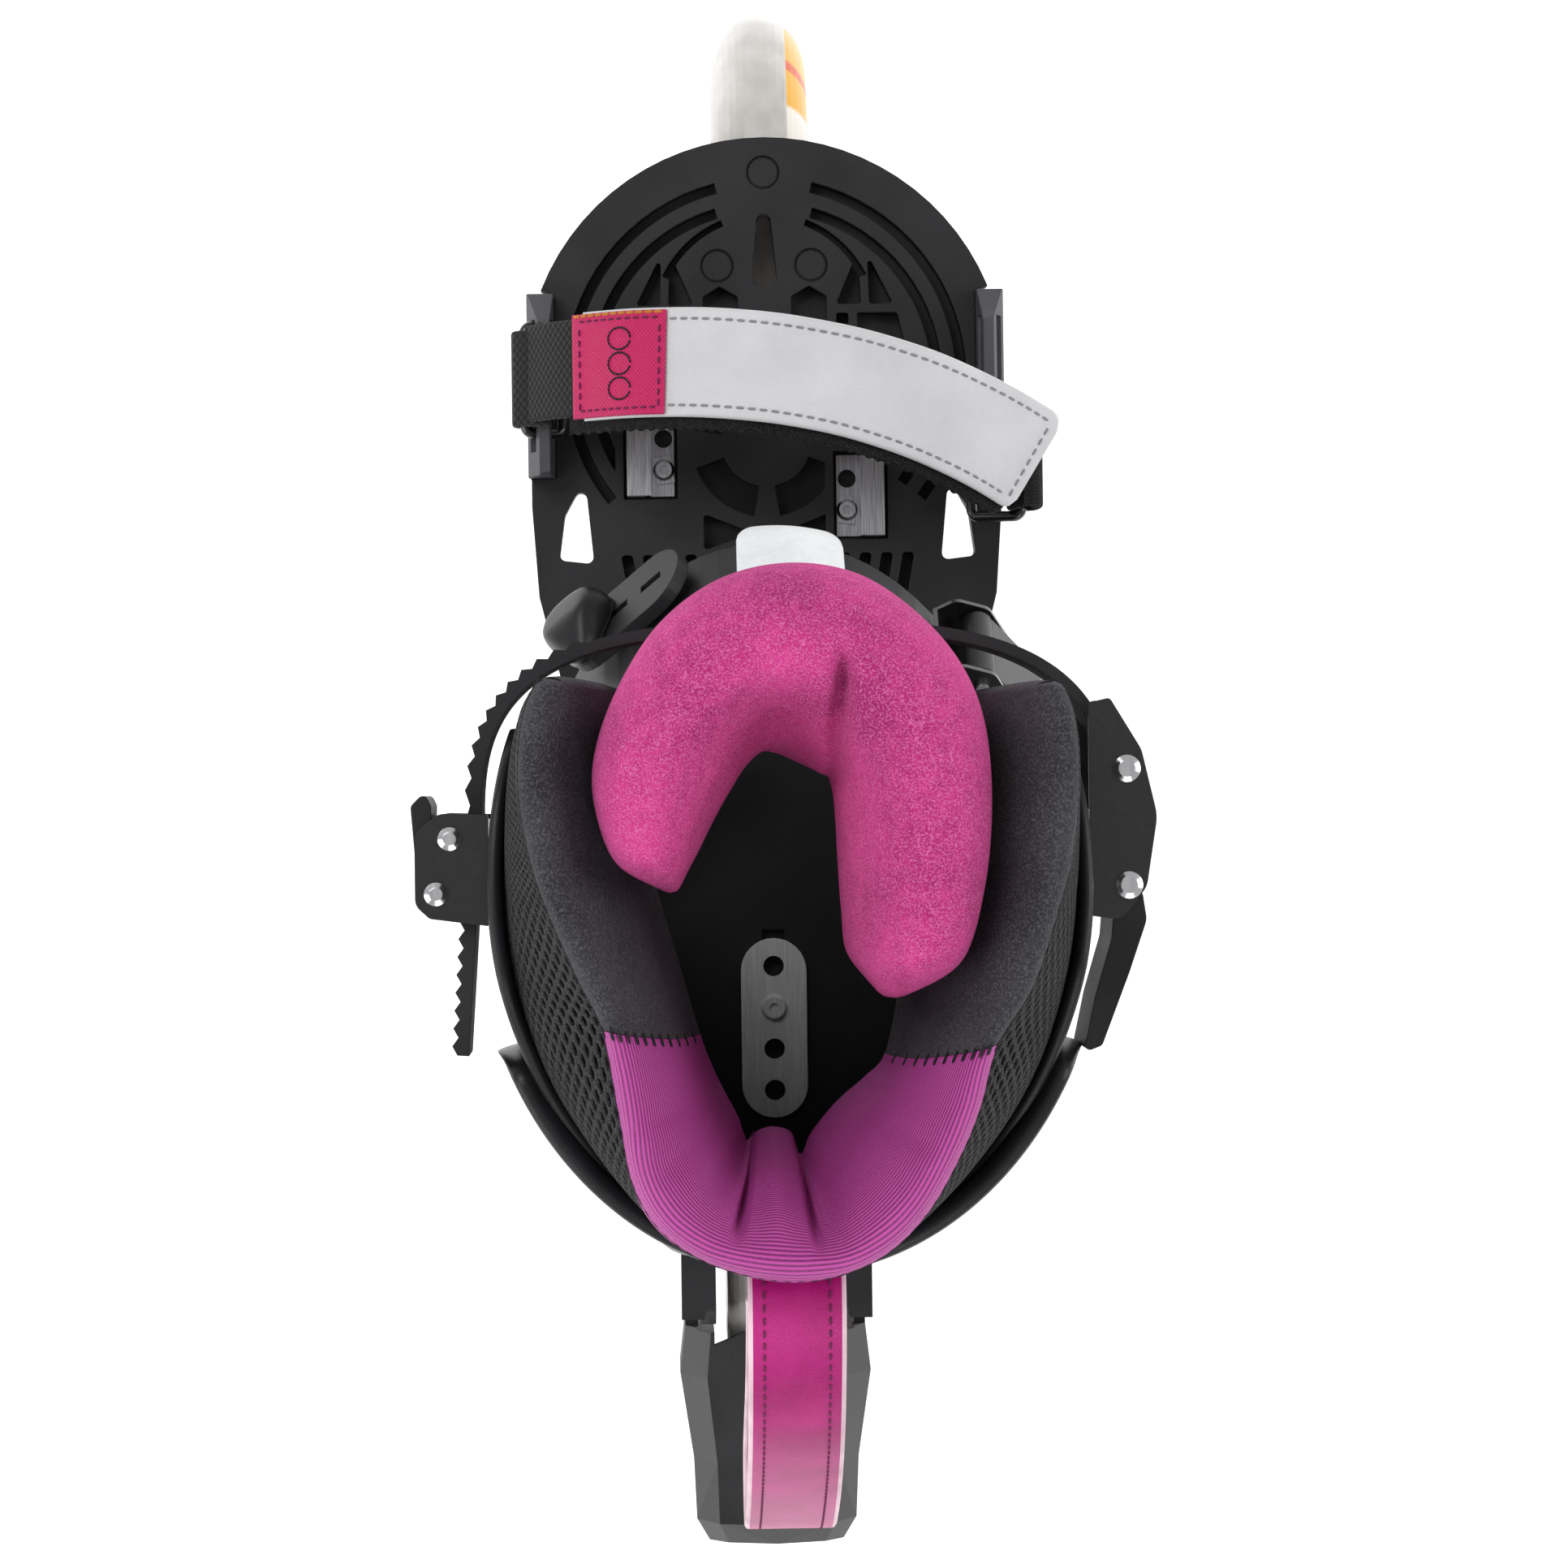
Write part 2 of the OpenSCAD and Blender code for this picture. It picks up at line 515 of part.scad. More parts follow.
// Bolts that fix the strap's ends to the heel cup.
module instep_bolts() color("#3a3a3d") both_sides() {
    rod_x(49.2, 58.6, bolt_at[0], bolt_at[1], 2.5);
    rod_x(49.2, 51.6, bolt_at[0], bolt_at[1], 5);
    rod_x(57.4, 59.4, bolt_at[0], bolt_at[1], 4.6);
}

// Slotted adjuster plate on the left of the band.
knob_w = -33;
module instep_anchor() color(plastic) on_band(knob_w, 131) difference() {
    translate([0, 0, 1.2]) linear_extrude(3.4) polygon(concat(
        arc([-7.5, 0], 9.6, 90, 270, 14), arc([10.5, 0], 9.6, -90, 90, 14)));
    for (x = [-8, 3]) translate([x, 0, 3]) rotate([0, 0, 90]) cube([2.4, 6.5, 6], center = true);
    translate([12, 0, 2]) cylinder(h = 4, r = 2.65);
}

module instep_knob() color("#242427") on_band(knob_w, 131) translate([12, 0, 0]) {
    translate([0, 0, 2.4]) cylinder(h = 3, r = 2.5);
    hull() {
        translate([0, 0, 5]) cylinder(h = 6, r1 = 8.6, r2 = 8, $fn = 32);
        translate([0, 0, 11]) cylinder(h = 3, r1 = 8, r2 = 5, $fn = 32);
        translate([8, -4, 5]) cylinder(h = 5, r1 = 3.4, r2 = 2.4, $fn = 24);
    }
}

// Ratchet frame on the right of the band, with two cheeks and two pins.
buckle_w = 49;
module instep_buckle() color("#2e2e31") on_band(buckle_w, 139) difference() {
    union() {
        translate([-14, -13.6, 0.8]) cube([28, 27.2, 1.2]);
        for (k = [-1, 1]) translate([0, k * 13 - 0.6, 0]) rotate([90, 0, 0]) translate([0, 0, -1.2])
            linear_extrude(1.2) polygon(rounded([[-14, 0.9, 0], [-14, 7, 3], [-4, 12.5, 3],
                [8, 12.5, 3], [14, 7, 3], [14, 0.9, 0]]));
    }
    translate([-14.5, -11, 0]) cube([9, 22, 6]);
    for (x = [-6.5, 6.5]) translate([x, -20, 8.4]) rotate([-90, 0, 0]) cylinder(h = 40, r = 1.65);
}

module instep_pins() color(steel) on_band(buckle_w, 139) for (x = [-6.5, 6.5])
    translate([x, -14.6, 8.4]) rotate([-90, 0, 0]) cylinder(h = 29.6, r = 1.6);

// Lever with an open pull loop, pivoting on the front pin.
module instep_lever() color("#3a3b3e") on_band(buckle_w, 139) difference() {
    union() {
        translate([6.5, -11.4, 8.4]) rotate([-90, 0, 0]) cylinder(h = 22.8, r = 3.6);
        translate([0, 11.4, 0]) rotate([90, 0, 0]) linear_extrude(22.8)
            polygon(rounded([[6, 12], [-12, 15.2, 4], [-26, 13.4, 3], [-34, 13.4, 1.5],
                [-34, 10.4, 1.4], [-25, 10.2, 3], [-12, 12.2, 4], [-3, 10.9], [3, 7.8]]));
    }
    translate([6.5, -20, 8.4]) rotate([-90, 0, 0]) cylinder(h = 40, r = 1.7);
    translate([-31, -7.6, 5]) cube([16, 15.2, 14]);
}

// ---- cuff ----

// The cuff's outer section at height z.
function cuff_a(z) = lookup(z, [[200, 57.6], [225, 58.2], [298, 62.4], [306, 63]]);
function cuff_yc(z) = lookup(z, [[200, -74], [300, -42], [340, -38]]);
function cuff_back(z) = lookup(z, [[200, -128], [250, -124], [300, -119], [340, -116]]);
function cuff_run(z) = lookup(z, [[200, 34], [300, 38], [340, 40]]);
function cuff_tuck(z) = lookup(z, [[200, 0], [240, 0.02], [300, 0.07], [340, 0.08]]);
function cuff_point(s, z, off) =
    let (p = u_path(s, cuff_a(z) - off, cuff_yc(z) - cuff_back(z) - off, cuff_yc(z), cuff_run(z),
        cuff_tuck(z)))
    [p.x, p.y, z];

// Shell edges as functions of s.
function shell_low(s) = 210 + 34 * pow(abs(s), 3);
function shell_high(s) =
    shell_top + 6 - 16 * pow(abs(s), 5) - 20 * pow(max(0, 1 - abs(s) / 0.42), 0.8);
function between(lo, hi, v) = lo + (hi - lo) * v;

module cuff_shell() color(plastic)
    skin(44, 6, function (u, v) let (s = 2 * u - 1)
            cuff_point(s, between(shell_low(s), shell_high(s), v), 0),
        function (u, v) let (s = 2 * u - 1)
            cuff_point(s, between(shell_low(s), shell_high(s), v), 2.8));

module cuff_spoiler() color("#232325")
    skin(30, 5, function (u, v) let (s = (2 * u - 1) * 0.38)
            cuff_point(s, between(227, spoiler_high(s), v), -3),
        function (u, v) let (s = (2 * u - 1) * 0.38)
            cuff_point(s, between(227, spoiler_high(s), v), -0.3));
function spoiler_high(s) = 296 - 14 * pow(abs(s) / 0.38, 6);

// Flat hinge ears between the heel cup and the shell, with the pivot bores.
module hinge_ears() color(plastic) both_sides() difference() {
    union() {
        along_x(51.6, 55.2) polygon(rounded([[-70, 196, 6], [-60, 226, 4], [-94, 226, 4],
            [-98, 196, 6], [-99, 180, 10], [-85, 170, 12], [-71, 180, 10]]));
    }
    rod_x(50, 60, pivot[0], pivot[1], 5.3);
}

// Upper rim of the padded collar for a share s of the way round.
rim_x = [[0, 0], [0.0625, 9.5], [0.125, 19], [0.1875, 28], [0.25, 34], [0.3125, 37.5],
    [0.375, 40.5], [0.4375, 46], [0.5, 51.5], [0.625, 56], [0.75, 57.3], [0.875, 56], [1, 50]];
rim_y = [[0, -121.8], [0.0625, -120.3], [0.125, -115.5], [0.1875, -106], [0.25, -93],
    [0.3125, -82], [0.375, -71.5], [0.4375, -58], [0.5, -43.5], [0.625, -30], [0.75, -18],
    [0.875, -6], [1, 4]];
function rim(s) = [sign(s) * lookup(abs(s), rim_x), lookup(abs(s), rim_y)];

// Point p moved inwards by off.
function inwards(p, off) =
    let (c = [0, max(-82, min(-12, p.y))], d = c - p)
    p + d / norm(d) * off;

// Outer face of the padded lining at height z, off inside it.
function lining(s, z, off) =
    let (low = cuff_point(s, min(z, 296), 3.2), f = max(0, (z - 296) / (collar_top - 296)),
        p = [low.x, low.y] * (1 - f) + rim(s) * f, q = inwards(p, off))
    [q.x, q.y, z];

// Padded boot that lines the cuff: an outer mesh layer, velour side pads and a heel pad.
module liner() color("#19191a")
    skin(48, 6, function (u, v) lining((2 * u - 1) * 0.97, between(228, collar_top, v), 0),
        function (u, v) lining((2 * u - 1) * 0.97, between(228, collar_top, v), 5.4 - 2 * v));

// Thickness of the side pads: full round the ankle, thin at the rim.
function pad_depth(s, v) = 4 + (18 - 9 * max(0, abs(s) - 0.5)) * pow(1 - v, 1.5);
module collar_pads() color("#262628") for (k = [-1, 1])
    skin(20, 5, function (u, v) let (s = k > 0 ? 0.375 + 0.59 * u : -0.965 + 0.59 * u)
            lining(s, between(226, collar_top - 2, v), 6.2 - 2 * v),
        function (u, v) let (s = k > 0 ? 0.375 + 0.59 * u : -0.965 + 0.59 * u)
            lining(s, between(226, collar_top - 2, v), 6.2 - 2 * v + pad_depth(s, v)));

module achilles_pad() color(pink)
    skin(24, 5, function (u, v) lining((2 * u - 1) * 0.37, between(236, collar_top - 1, v),
            6.6 - 2 * v),
        function (u, v) lining((2 * u - 1) * 0.37, between(236, collar_top - 1, v),
            6.2 - 2 * v + heel_depth((2 * u - 1) * 0.37, v)));
function heel_depth(s, v) = 9 + 13 * pow(cos(min(90, abs(s) * 240)), 0.8) + 4 * (1 - v);

// Outer and inner edges of the tongue's rolled top, from the left tip round to the right tip.
tongue_out = [[-28, -42], [-36, -35], [-40, -24], [-39.5, -13], [-34.5, 0], [-26, 12.5],
    [-14, 21], [0, 24], [14, 21.5], [26, 13.3], [34.5, 3], [39, -9], [40, -25], [38.4, -42],
    [34, -57], [25, -64.5]];
tongue_in = [[-24, -41], [-20, -34], [-16, -27], [-12, -20], [-8.5, -16], [-5.5, -13], [-2.5, -11.5],
    [0, -11], [3, -12], [6, -14.5], [8, -19], [9, -26], [10, -36], [10.8, -47], [12.5, -57],
    [16, -64]];
function along(list, u) =
    let (x = u * (len(list) - 1), i = min(len(list) - 2, floor(x)))
    list[i] + (list[i + 1] - list[i]) * (x - i);
// The top narrows to a plain curved tongue further down; v is 0 at the bottom.
function tongue_edge(list, u, v, a, b) =
    let (top = along(list, u), w = -104 + 208 * u, low = [a * sin(w), -22 + b * cos(w)],
        f = pow(v, 3), p = low * (1 - f) + top * f)
    [p.x, p.y, 242 + 102 * v - (v > 0.9 ? 5 * abs(2 * u - 1) : 0)];

module tongue() color("#cf3a8d")
    skin(30, 6, function (u, v) tongue_edge(tongue_out, u, v, 32, 31),
        function (u, v) tongue_edge(tongue_in, u, v, 22, 21));

// Loop of stitched strap at the back of the collar.
loop_path = [[-119.8, 309], [-128, 314], [-142, 309], [-158, 293], [-171, 268], [-181, 240],
    [-187, 216], [-186, 204], [-179, 200], [-171, 206], [-163, 225], [-153, 252], [-141, 273],
    [-130, 284.5]];
function loop_normal(i) =
    let (n = len(loop_path), a = loop_path[max(0, i - 1)], b = loop_path[min(n - 1, i + 1)],
        t = (b - a) / norm(b - a))
    [-t.y, t.x];
module pull_loop() color(pink) {
    n = len(loop_path) - 1;
    skin(n, 1, function (u, v) let (i = round(u * n), p = loop_path[i] - loop_normal(i) * 1.1)
            [9.5 - 19 * v, p.x, p.y],
        function (u, v) let (i = round(u * n), p = loop_path[i] + loop_normal(i) * 1.1)
            [9.5 - 19 * v, p.x, p.y]);
}

// ---- cuff strap and its two buckles ----

strap_z = [268, 292];
tail_start = [-66.2, -30];
tail_end = [-69.5, -77];
tooth_pitch = 3.2;

// Middle line of the cuff strap: distance-like parameter u, 0 at the tail's tip.
function cuff_line(u) =
    u < 0.27 ? tail_end + (tail_start - tail_end) * u / 0.27 :
    let (w = -90 + (u - 0.27) / 0.73 * 172, k = 0.667)
    [(w < 0 ? -66.2 : 68.4) * pow(abs(sin(w)), k), -30 + 43 * pow(max(0, cos(w)), k)];
function line_normal(u) =
    let (a = cuff_line(max(0, u - 0.005)), b = cuff_line(min(1, u + 0.005)),
        t = (b - a) / norm(b - a))
    [-t.y, t.x];
teeth_end = 0.52;
function tooth(k) = k % 2 == 0 ? 0 : 1.2;

// The strap, with saw teeth on the outside of its left part.
module cuff_strap() color("#2b2b2e") {
    n = 92;
    point = function (u, v, off)
        let (p = cuff_line(u) + line_normal(u) * off) [p.x, p.y, between(strap_z[0], strap_z[1], v)];
    skin(n, 1, function (u, v) point(1 - u, v, 1.25 + (1 - u < teeth_end
            && 1 - u > 0.01 ? tooth(round(u * n)) : 0)),
        function (u, v) point(1 - u, v, -1.25));
}

// Two cheeks and a back plate; outline is the cheeks' plan.
module cheeks(outline) for (z = [262, 296.8]) translate([0, 0, z]) linear_extrude(1.2)
    polygon(rounded(outline));

ratchet_pins_at = [[-71.6, -31], [-74.6, -42.6]];
module ratchet_frame() color("#26262a") difference() {
    union() {
        cheeks([[-63.4, -26, 0.5], [-74, -25.6, 4], [-79, -30, 3], [-79, -45, 3], [-76, -47.8, 2],
            [-63.4, -49.5, 0.5]]);
        translate([-64.4, -48, 262]) cube([1, 21, 36]);
    }
    for (p = ratchet_pins_at) translate([p.x, p.y, 260]) cylinder(h = 40, r = 1.75);
}

// Domed heads at both ends of a rivet through the cheeks.
module rivet_heads(r) for (k = [-1, 1]) translate([0, 0, k < 0 ? 262 : 298])
    mirror([0, 0, k < 0 ? 1 : 0]) {
        cylinder(h = 0.7, r = r);
        translate([0, 0, 0.7]) cylinder(h = 0.6, r1 = r, r2 = r - 1.1);
    }

module ratchet_pins() color("#d9dadc") for (p = ratchet_pins_at) translate([p.x, p.y, 0]) {
    translate([0, 0, 261.5]) cylinder(h = 37, r = 1.7);
    rivet_heads(2.5);
}

// Lever or pawl between the cheeks: its plan joined to a barrel bored for the pin.
module between_cheeks(pin, barrel, outline, gap = 0.4) translate([0, 0, 263.2 + gap]) difference() {
    union() {
        linear_extrude(33.6 - 2 * gap) polygon(rounded(outline));
        translate(pin) cylinder(h = 33.6 - 2 * gap, r = barrel);
    }
    translate([pin.x, pin.y, -1]) cylinder(h = 40, r = 1.8);
}

module ratchet_lever() color(plastic) between_cheeks(ratchet_pins_at[1], 3.2,
    [[-77.6, -43, 0], [-78.9, -36, 3], [-79.8, -24, 1.5], [-76.8, -21, 1.2],
        [-75.4, -24, 1.5], [-75.7, -34, 3], [-72.6, -39.9, 0.5], [-74.6, -42.6, 0]]);

module ratchet_pawl() color(steel) between_cheeks(ratchet_pins_at[0], 2.5,
    [[-73.6, -32, 0], [-70.3, -37.4, 0], [-69.3, -36.4, 0], [-69.6, -32, 0], [-71.6, -31, 0]], 2.4);

cam_pins_at = [[71.4, -18], [71.6, -42.6]];
module cam_frame() color("#202023") difference() {
    union() {
        cheeks([[63.4, -4, 0.5], [68, -3, 1], [74.6, -14, 6], [77.8, -28, 10], [75.4, -43, 5],
            [70, -50, 4], [63.4, -49, 0.5]]);
        translate([63.4, -48.5, 262]) cube([1, 22, 36]);
    }
    for (p = cam_pins_at) translate([p.x, p.y, 260]) cylinder(h = 40, r = 1.75);
}

module cam_pins() color("#d9dadc") for (p = cam_pins_at) translate([p.x, p.y, 0]) {
    translate([0, 0, 261.5]) cylinder(h = 37, r = 1.7);
    rivet_heads(2.9);
}

module cam_lever() color(plastic) between_cheeks(cam_pins_at[1], 3.4,
    [[71.6, -42.6, 0], [74.6, -44.4, 1], [75.4, -50, 4], [71.6, -61, 8], [65.6, -76.5, 1.5],
        [61.6, -78, 1], [64.2, -66, 10], [67.8, -54, 8], [68.6, -44.4, 1]]);

chassis();
footplate();
plate_plugs();
left_wing();
right_wing();
left_wing_bracket();
right_wing_bracket();
bracket_screws();
strap_rings();
toe_strap();
toe_webbing();
toe_patch();
axles();
axle_nuts();
bearing_sleeves();
tyre(axle_y[0]);  // front_tyre
hub(axle_y[0]);  // front_hub
bearings(axle_y[0]);  // front_bearings
tyre(axle_y[1]);  // middle_tyre
hub(axle_y[1]);  // middle_hub
bearings(axle_y[1]);  // middle_bearings
tyre(axle_y[2]);  // rear_tyre
hub(axle_y[2]);  // rear_hub
bearings(axle_y[2]);  // rear_bearings
brake_carrier();
brake_pad();
brake_screw();
heel_base();
heel_cup();
size_strip();
size_screw();
pivot_pins();
heel_liner();
instep_strap();
instep_pad();
instep_shield();
instep_anchor();
instep_knob();
instep_bolts();
instep_buckle();
instep_pins();
instep_lever();
hinge_ears();
cuff_shell();
cuff_spoiler();
liner();
collar_pads();
achilles_pad();
tongue();
pull_loop();
cuff_strap();
ratchet_frame();
ratchet_pins();
ratchet_lever();
ratchet_pawl();
cam_frame();
cam_pins();
cam_lever();
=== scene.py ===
# %% [markdown]
# # An inline skate that straps over a shoe
# The moulded frame, wheels, buckles and screws come from a CAD model, which is loaded here and
# stays as it is. Blender adds what CAD is poor at: the padded and woven parts, the straps with
# their stitching, the soft edges of moulded plastic, and the finish of every surface.

# %% Load the CAD model
import math

import bmesh
import bpy
import numpy as np
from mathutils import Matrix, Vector


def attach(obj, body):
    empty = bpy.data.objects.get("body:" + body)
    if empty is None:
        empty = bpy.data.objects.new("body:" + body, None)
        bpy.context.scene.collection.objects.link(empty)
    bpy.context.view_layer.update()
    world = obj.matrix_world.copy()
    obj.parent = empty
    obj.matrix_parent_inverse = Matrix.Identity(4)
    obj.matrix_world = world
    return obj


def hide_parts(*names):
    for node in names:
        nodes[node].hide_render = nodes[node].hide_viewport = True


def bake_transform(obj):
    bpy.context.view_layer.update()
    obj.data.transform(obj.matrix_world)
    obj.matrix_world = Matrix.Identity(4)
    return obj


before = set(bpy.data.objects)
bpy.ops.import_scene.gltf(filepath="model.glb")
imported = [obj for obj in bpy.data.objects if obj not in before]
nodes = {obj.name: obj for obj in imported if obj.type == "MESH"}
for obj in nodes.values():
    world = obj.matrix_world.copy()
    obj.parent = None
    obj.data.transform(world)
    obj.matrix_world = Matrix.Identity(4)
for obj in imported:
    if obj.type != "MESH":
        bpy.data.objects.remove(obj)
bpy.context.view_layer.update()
MM = 0.001

# %% [markdown]
# ## Camera
# The skate is seen from straight above, from about a metre and a half. The camera leans a little
# to one side and is turned by less than a degree, so the high cuff hides the heel of the frame
# in the right place. A long lens keeps the cuff from looking much larger than the wheels.

# %% Camera
camera_data = bpy.data.cameras.new("camera")
camera_data.sensor_width = 36
camera_data.lens = 130.95
camera = bpy.data.objects.new("camera", camera_data)
camera.location = (-0.027, -0.020, 1.5)
camera.rotation_euler = (0, math.radians(-1.24), math.radians(-0.76))
bpy.context.collection.objects.link(camera)
bpy.context.scene.camera = camera

# %% [markdown]
# ## Floor and light
# A pale floor that glows a little, so it stays white, and large soft lights, as in a light
# tent. The biggest panel is near the camera, and two side panels draw soft highlights along the
# black plastic, so its form can be read.

# %% Floor and light
def area_light(name, place, size, power, target=(0, -0.02, 0.15)):
    """A square soft light at place, turned to face target."""
    data = bpy.data.lights.new(name, "AREA")
    data.energy = power
    data.size = size
    lamp = bpy.data.objects.new(name, data)
    lamp.location = place
    lamp.rotation_euler = (Vector(target) - Vector(place)).to_track_quat("-Z", "Y").to_euler()
    bpy.context.collection.objects.link(lamp)


area_light("key_panel", (-0.75, 0.75, 1.7), 0.9, 12)
area_light("right_panel", (1.1, 0.1, 1.0), 0.8, 8)
area_light("left_panel", (-1.1, -0.5, 0.9), 0.8, 7)
area_light("back_panel", (0.2, -1.1, 1.3), 0.8, 6)
world = bpy.data.worlds.new("studio")
world.use_nodes = True
world.node_tree.nodes["Background"].inputs["Color"].default_value = (1, 1, 1, 1)
world.node_tree.nodes["Background"].inputs["Strength"].default_value = 0.42
bpy.context.scene.world = world
bpy.context.scene.view_settings.view_transform = "Standard"
bpy.ops.mesh.primitive_plane_add(size=8)
floor = bpy.context.object
floor.name = "floor"


# %% [markdown]
# ## Colour and node helpers
# Colours are written as the hex codes that a paint program shows, and one function turns them
# into the linear values that Blender mixes. One more function adds a shader node with its
# settings and links, so a material below reads from top to bottom like a recipe.

# %% Helpers for materials
def linear(code):
    """An sRGB hex code such as "#cf3a8d" as a linear colour with alpha."""
    parts = [int(code[i : i + 2], 16) / 255 for i in (1, 3, 5)]
    return [p / 12.92 if p <= 0.04045 else ((p + 0.055) / 1.055) ** 2.4 for p in parts] + [1.0]


def add(tree, kind, settings=None, **inputs):
    """Adds a shader node. settings are its properties; inputs are values or other nodes' sockets."""
    node = tree.nodes.new("ShaderNode" + kind)
    for key, value in (settings or {}).items():
        setattr(node, key, value)
    for key, value in inputs.items():
        name = key.replace("_", " ")
        socket = next((s for s in node.inputs if s.name == name), None)
        if socket is None:
            socket = node.inputs[int(key[1:])]
        if isinstance(value, bpy.types.NodeSocket):
            tree.links.new(value, socket)
        else:
            socket.default_value = value
    return node


def ramp(tree, factor, stops):
    """A colour ramp through (position, hex code) stops."""
    node = add(tree, "ValToRGB", Fac=factor)
    points = node.color_ramp.elements
    while len(points) < len(stops):
        points.new(0.5)
    for point, (place, code) in zip(points, stops):
        point.position = place
        point.color = linear(code)
    return node.outputs[0]


def finish(name, build):
    """A new material: build(tree, shader) adds its nodes to a Principled shader."""
    material = bpy.data.materials.new(name)
    material.use_nodes = True
    tree = material.node_tree
    build(tree, tree.nodes["Principled BSDF"])
    return material


def link(tree, shader, socket, output):
    tree.links.new(output, shader.inputs[socket])


def put(shader, **values):
    """Sets inputs of a shader; an underscore in a name stands for a space."""
    for key, value in values.items():
        shader.inputs[key.replace("_", " ")].default_value = value


def per_metre(size_mm):
    """Noise scale whose features are about size_mm across."""
    return 1000 / size_mm


def coordinates(tree, kind):
    return add(tree, "TexCoord").outputs[kind]


def noise(tree, place, size_mm, detail):
    return add(tree, "TexNoise", Vector=place, Scale=per_metre(size_mm), Detail=detail).outputs["Fac"]


def calc(tree, operation, *values):
    """A maths node on up to three values or sockets."""
    inputs = {f"_{i}": value for i, value in enumerate(values)}
    return add(tree, "Math", {"operation": operation}, **inputs).outputs[0]


def remap(tree, value, low=0.0, high=1.0, to_low=0.0, to_high=1.0, kind="LINEAR"):
    """Moves value from the range low to high to another range, clamped at its ends."""
    node = add(tree, "MapRange", {"interpolation_type": kind}, Value=value, From_Min=low,
               From_Max=high, To_Min=to_low, To_Max=to_high)
    return node.outputs[0]


def relief(tree, shader, height, distance, strength=1.0, edge=None):
    """Bumps the surface by height times distance, and rounds its edges by edge metres."""
    bump = add(tree, "Bump", Height=height, Distance=distance, Strength=strength)
    if edge is not None:
        soft = add(tree, "Bevel", {"samples": 3}, Radius=edge)
        tree.links.new(soft.outputs[0], bump.inputs["Normal"])
    link(tree, shader, "Normal", bump.outputs[0])


# %% [markdown]
# ## Moulded black nylon
# The frame, foot bed and shells are nylon filled with short glass fibre. The mould is sand
# blasted, which gives a fine even grain, and the fibres leave faint pale flecks. Handling
# polishes the edges, so they are drawn a little rounder than the faces.

# %% Moulded plastics
def moulded(dark, pale, roughness, grain_mm=0.5, edge_mm=0.5, grain_depth=0.00006):
    """Recipe for a grained moulding between two hex colours, with softened edges."""

    def build(tree, shader):
        place = coordinates(tree, "Object")
        grain = noise(tree, place, grain_mm, 3.0)
        cloud = noise(tree, place, 22, 2.0)
        mix = calc(tree, "MULTIPLY_ADD", grain, 0.35, cloud)
        colour = ramp(tree, mix, [(0.45, dark), (0.85, pale)])
        link(tree, shader, "Base Color", colour)
        rough = remap(tree, cloud, to_low=roughness - 0.06, to_high=roughness + 0.06)
        link(tree, shader, "Roughness", rough)
        relief(tree, shader, grain, grain_depth, edge=edge_mm * MM)
        put(shader, Specular_IOR_Level=0.33)

    return build


glass_nylon = finish("glass_filled_nylon", moulded("#141416", "#222225", 0.5))
wing_nylon = finish("tumbled_grey_nylon", moulded("#2c2c2f", "#45454a", 0.55, grain_mm=0.35))
shell_nylon = finish("shell_polyurethane", moulded("#121214", "#1f1f22", 0.36, edge_mm=0.8))
strap_urethane = finish("strap_urethane", moulded("#161618", "#252528", 0.48, edge_mm=0.4))
lever_acetal = finish("lever_acetal", moulded("#121214", "#202023", 0.33, grain_mm=0.3))
shield_nylon = finish("white_nylon", moulded("#dfe4e6", "#f4f6f7", 0.34, grain_mm=1.5,
                                             grain_depth=0.00002))
hub_nylon = finish("hub_nylon", moulded("#d9d7d2", "#f2f0ec", 0.38, grain_mm=1.2))
brake_rubber = finish("brake_rubber", moulded("#0d0d0d", "#1b1b1b", 0.75, grain_mm=0.8,
                                              grain_depth=0.00012))


# %% [markdown]
# ## Metals
# The clamps, size strip, bolts and bearings are zinc-plated steel. Plating follows the fine
# rolling lines of the sheet. Rivets are turned and polished, and the buckle's cheeks are
# stamped steel under black electrocoat, a thin glossy paint. The size strip lies deep in the
# boot, in shade, so its colours are painted much paler and mostly non-metallic: painted light.

# %% Metals
def plated(dark, pale, roughness, line_mm=0.35, line_depth=0.00002, metallic=1.0):
    """Recipe for plated sheet with rolling lines along Y."""

    def build(tree, shader):
        place = coordinates(tree, "Object")
        stretched = add(tree, "Mapping", Vector=place)
        stretched.inputs["Scale"].default_value = (1, 0.04, 1)
        lines = noise(tree, stretched.outputs[0], line_mm, 2.0)
        shade = ramp(tree, lines, [(0.3, dark), (0.7, pale)])
        link(tree, shader, "Base Color", shade)
        put(shader, Metallic=metallic)
        rough = remap(tree, lines, to_low=roughness - 0.07, to_high=roughness + 0.08)
        link(tree, shader, "Roughness", rough)
        relief(tree, shader, lines, line_depth, edge=0.25 * MM)

    return build


zinc_plate = finish("zinc_plated_steel", plated("#a2a3a6", "#d2d3d5", 0.34))
# Size strip: zinc colours painted much paler with metallic lowered, painted light for the shade deep in
# the boot.
painted_light_strip = finish("painted_light_strip_steel", plated("#d0d1d2", "#ececed", 0.4, metallic=0.1))
polished_rivet = finish("polished_rivet_steel", plated("#dcdde0", "#f2f2f4", 0.16, 1.2, 0.0))


def electrocoat(tree, shader):
    place = coordinates(tree, "Object")
    peel = noise(tree, place, 1.6, 2.0)
    link(tree, shader, "Base Color", ramp(tree, peel, [(0.3, "#0b0b0c"), (0.8, "#18181a")]))
    put(shader, Roughness=0.3, Coat_Weight=0.6, Coat_Roughness=0.12)
    relief(tree, shader, peel, 0.00003, edge=0.3 * MM)


black_electrocoat = finish("black_electrocoat_steel", electrocoat)


# %% [markdown]
# ## Cast urethane tyre
# A skate tyre is cast polyurethane: milky, slightly see-through and semi-gloss. Pad printing
# on its right shoulder gives a coloured band. The print here is a plain generic band of
# stripes, worked out from the angle round the wheel and the distance from its axle.

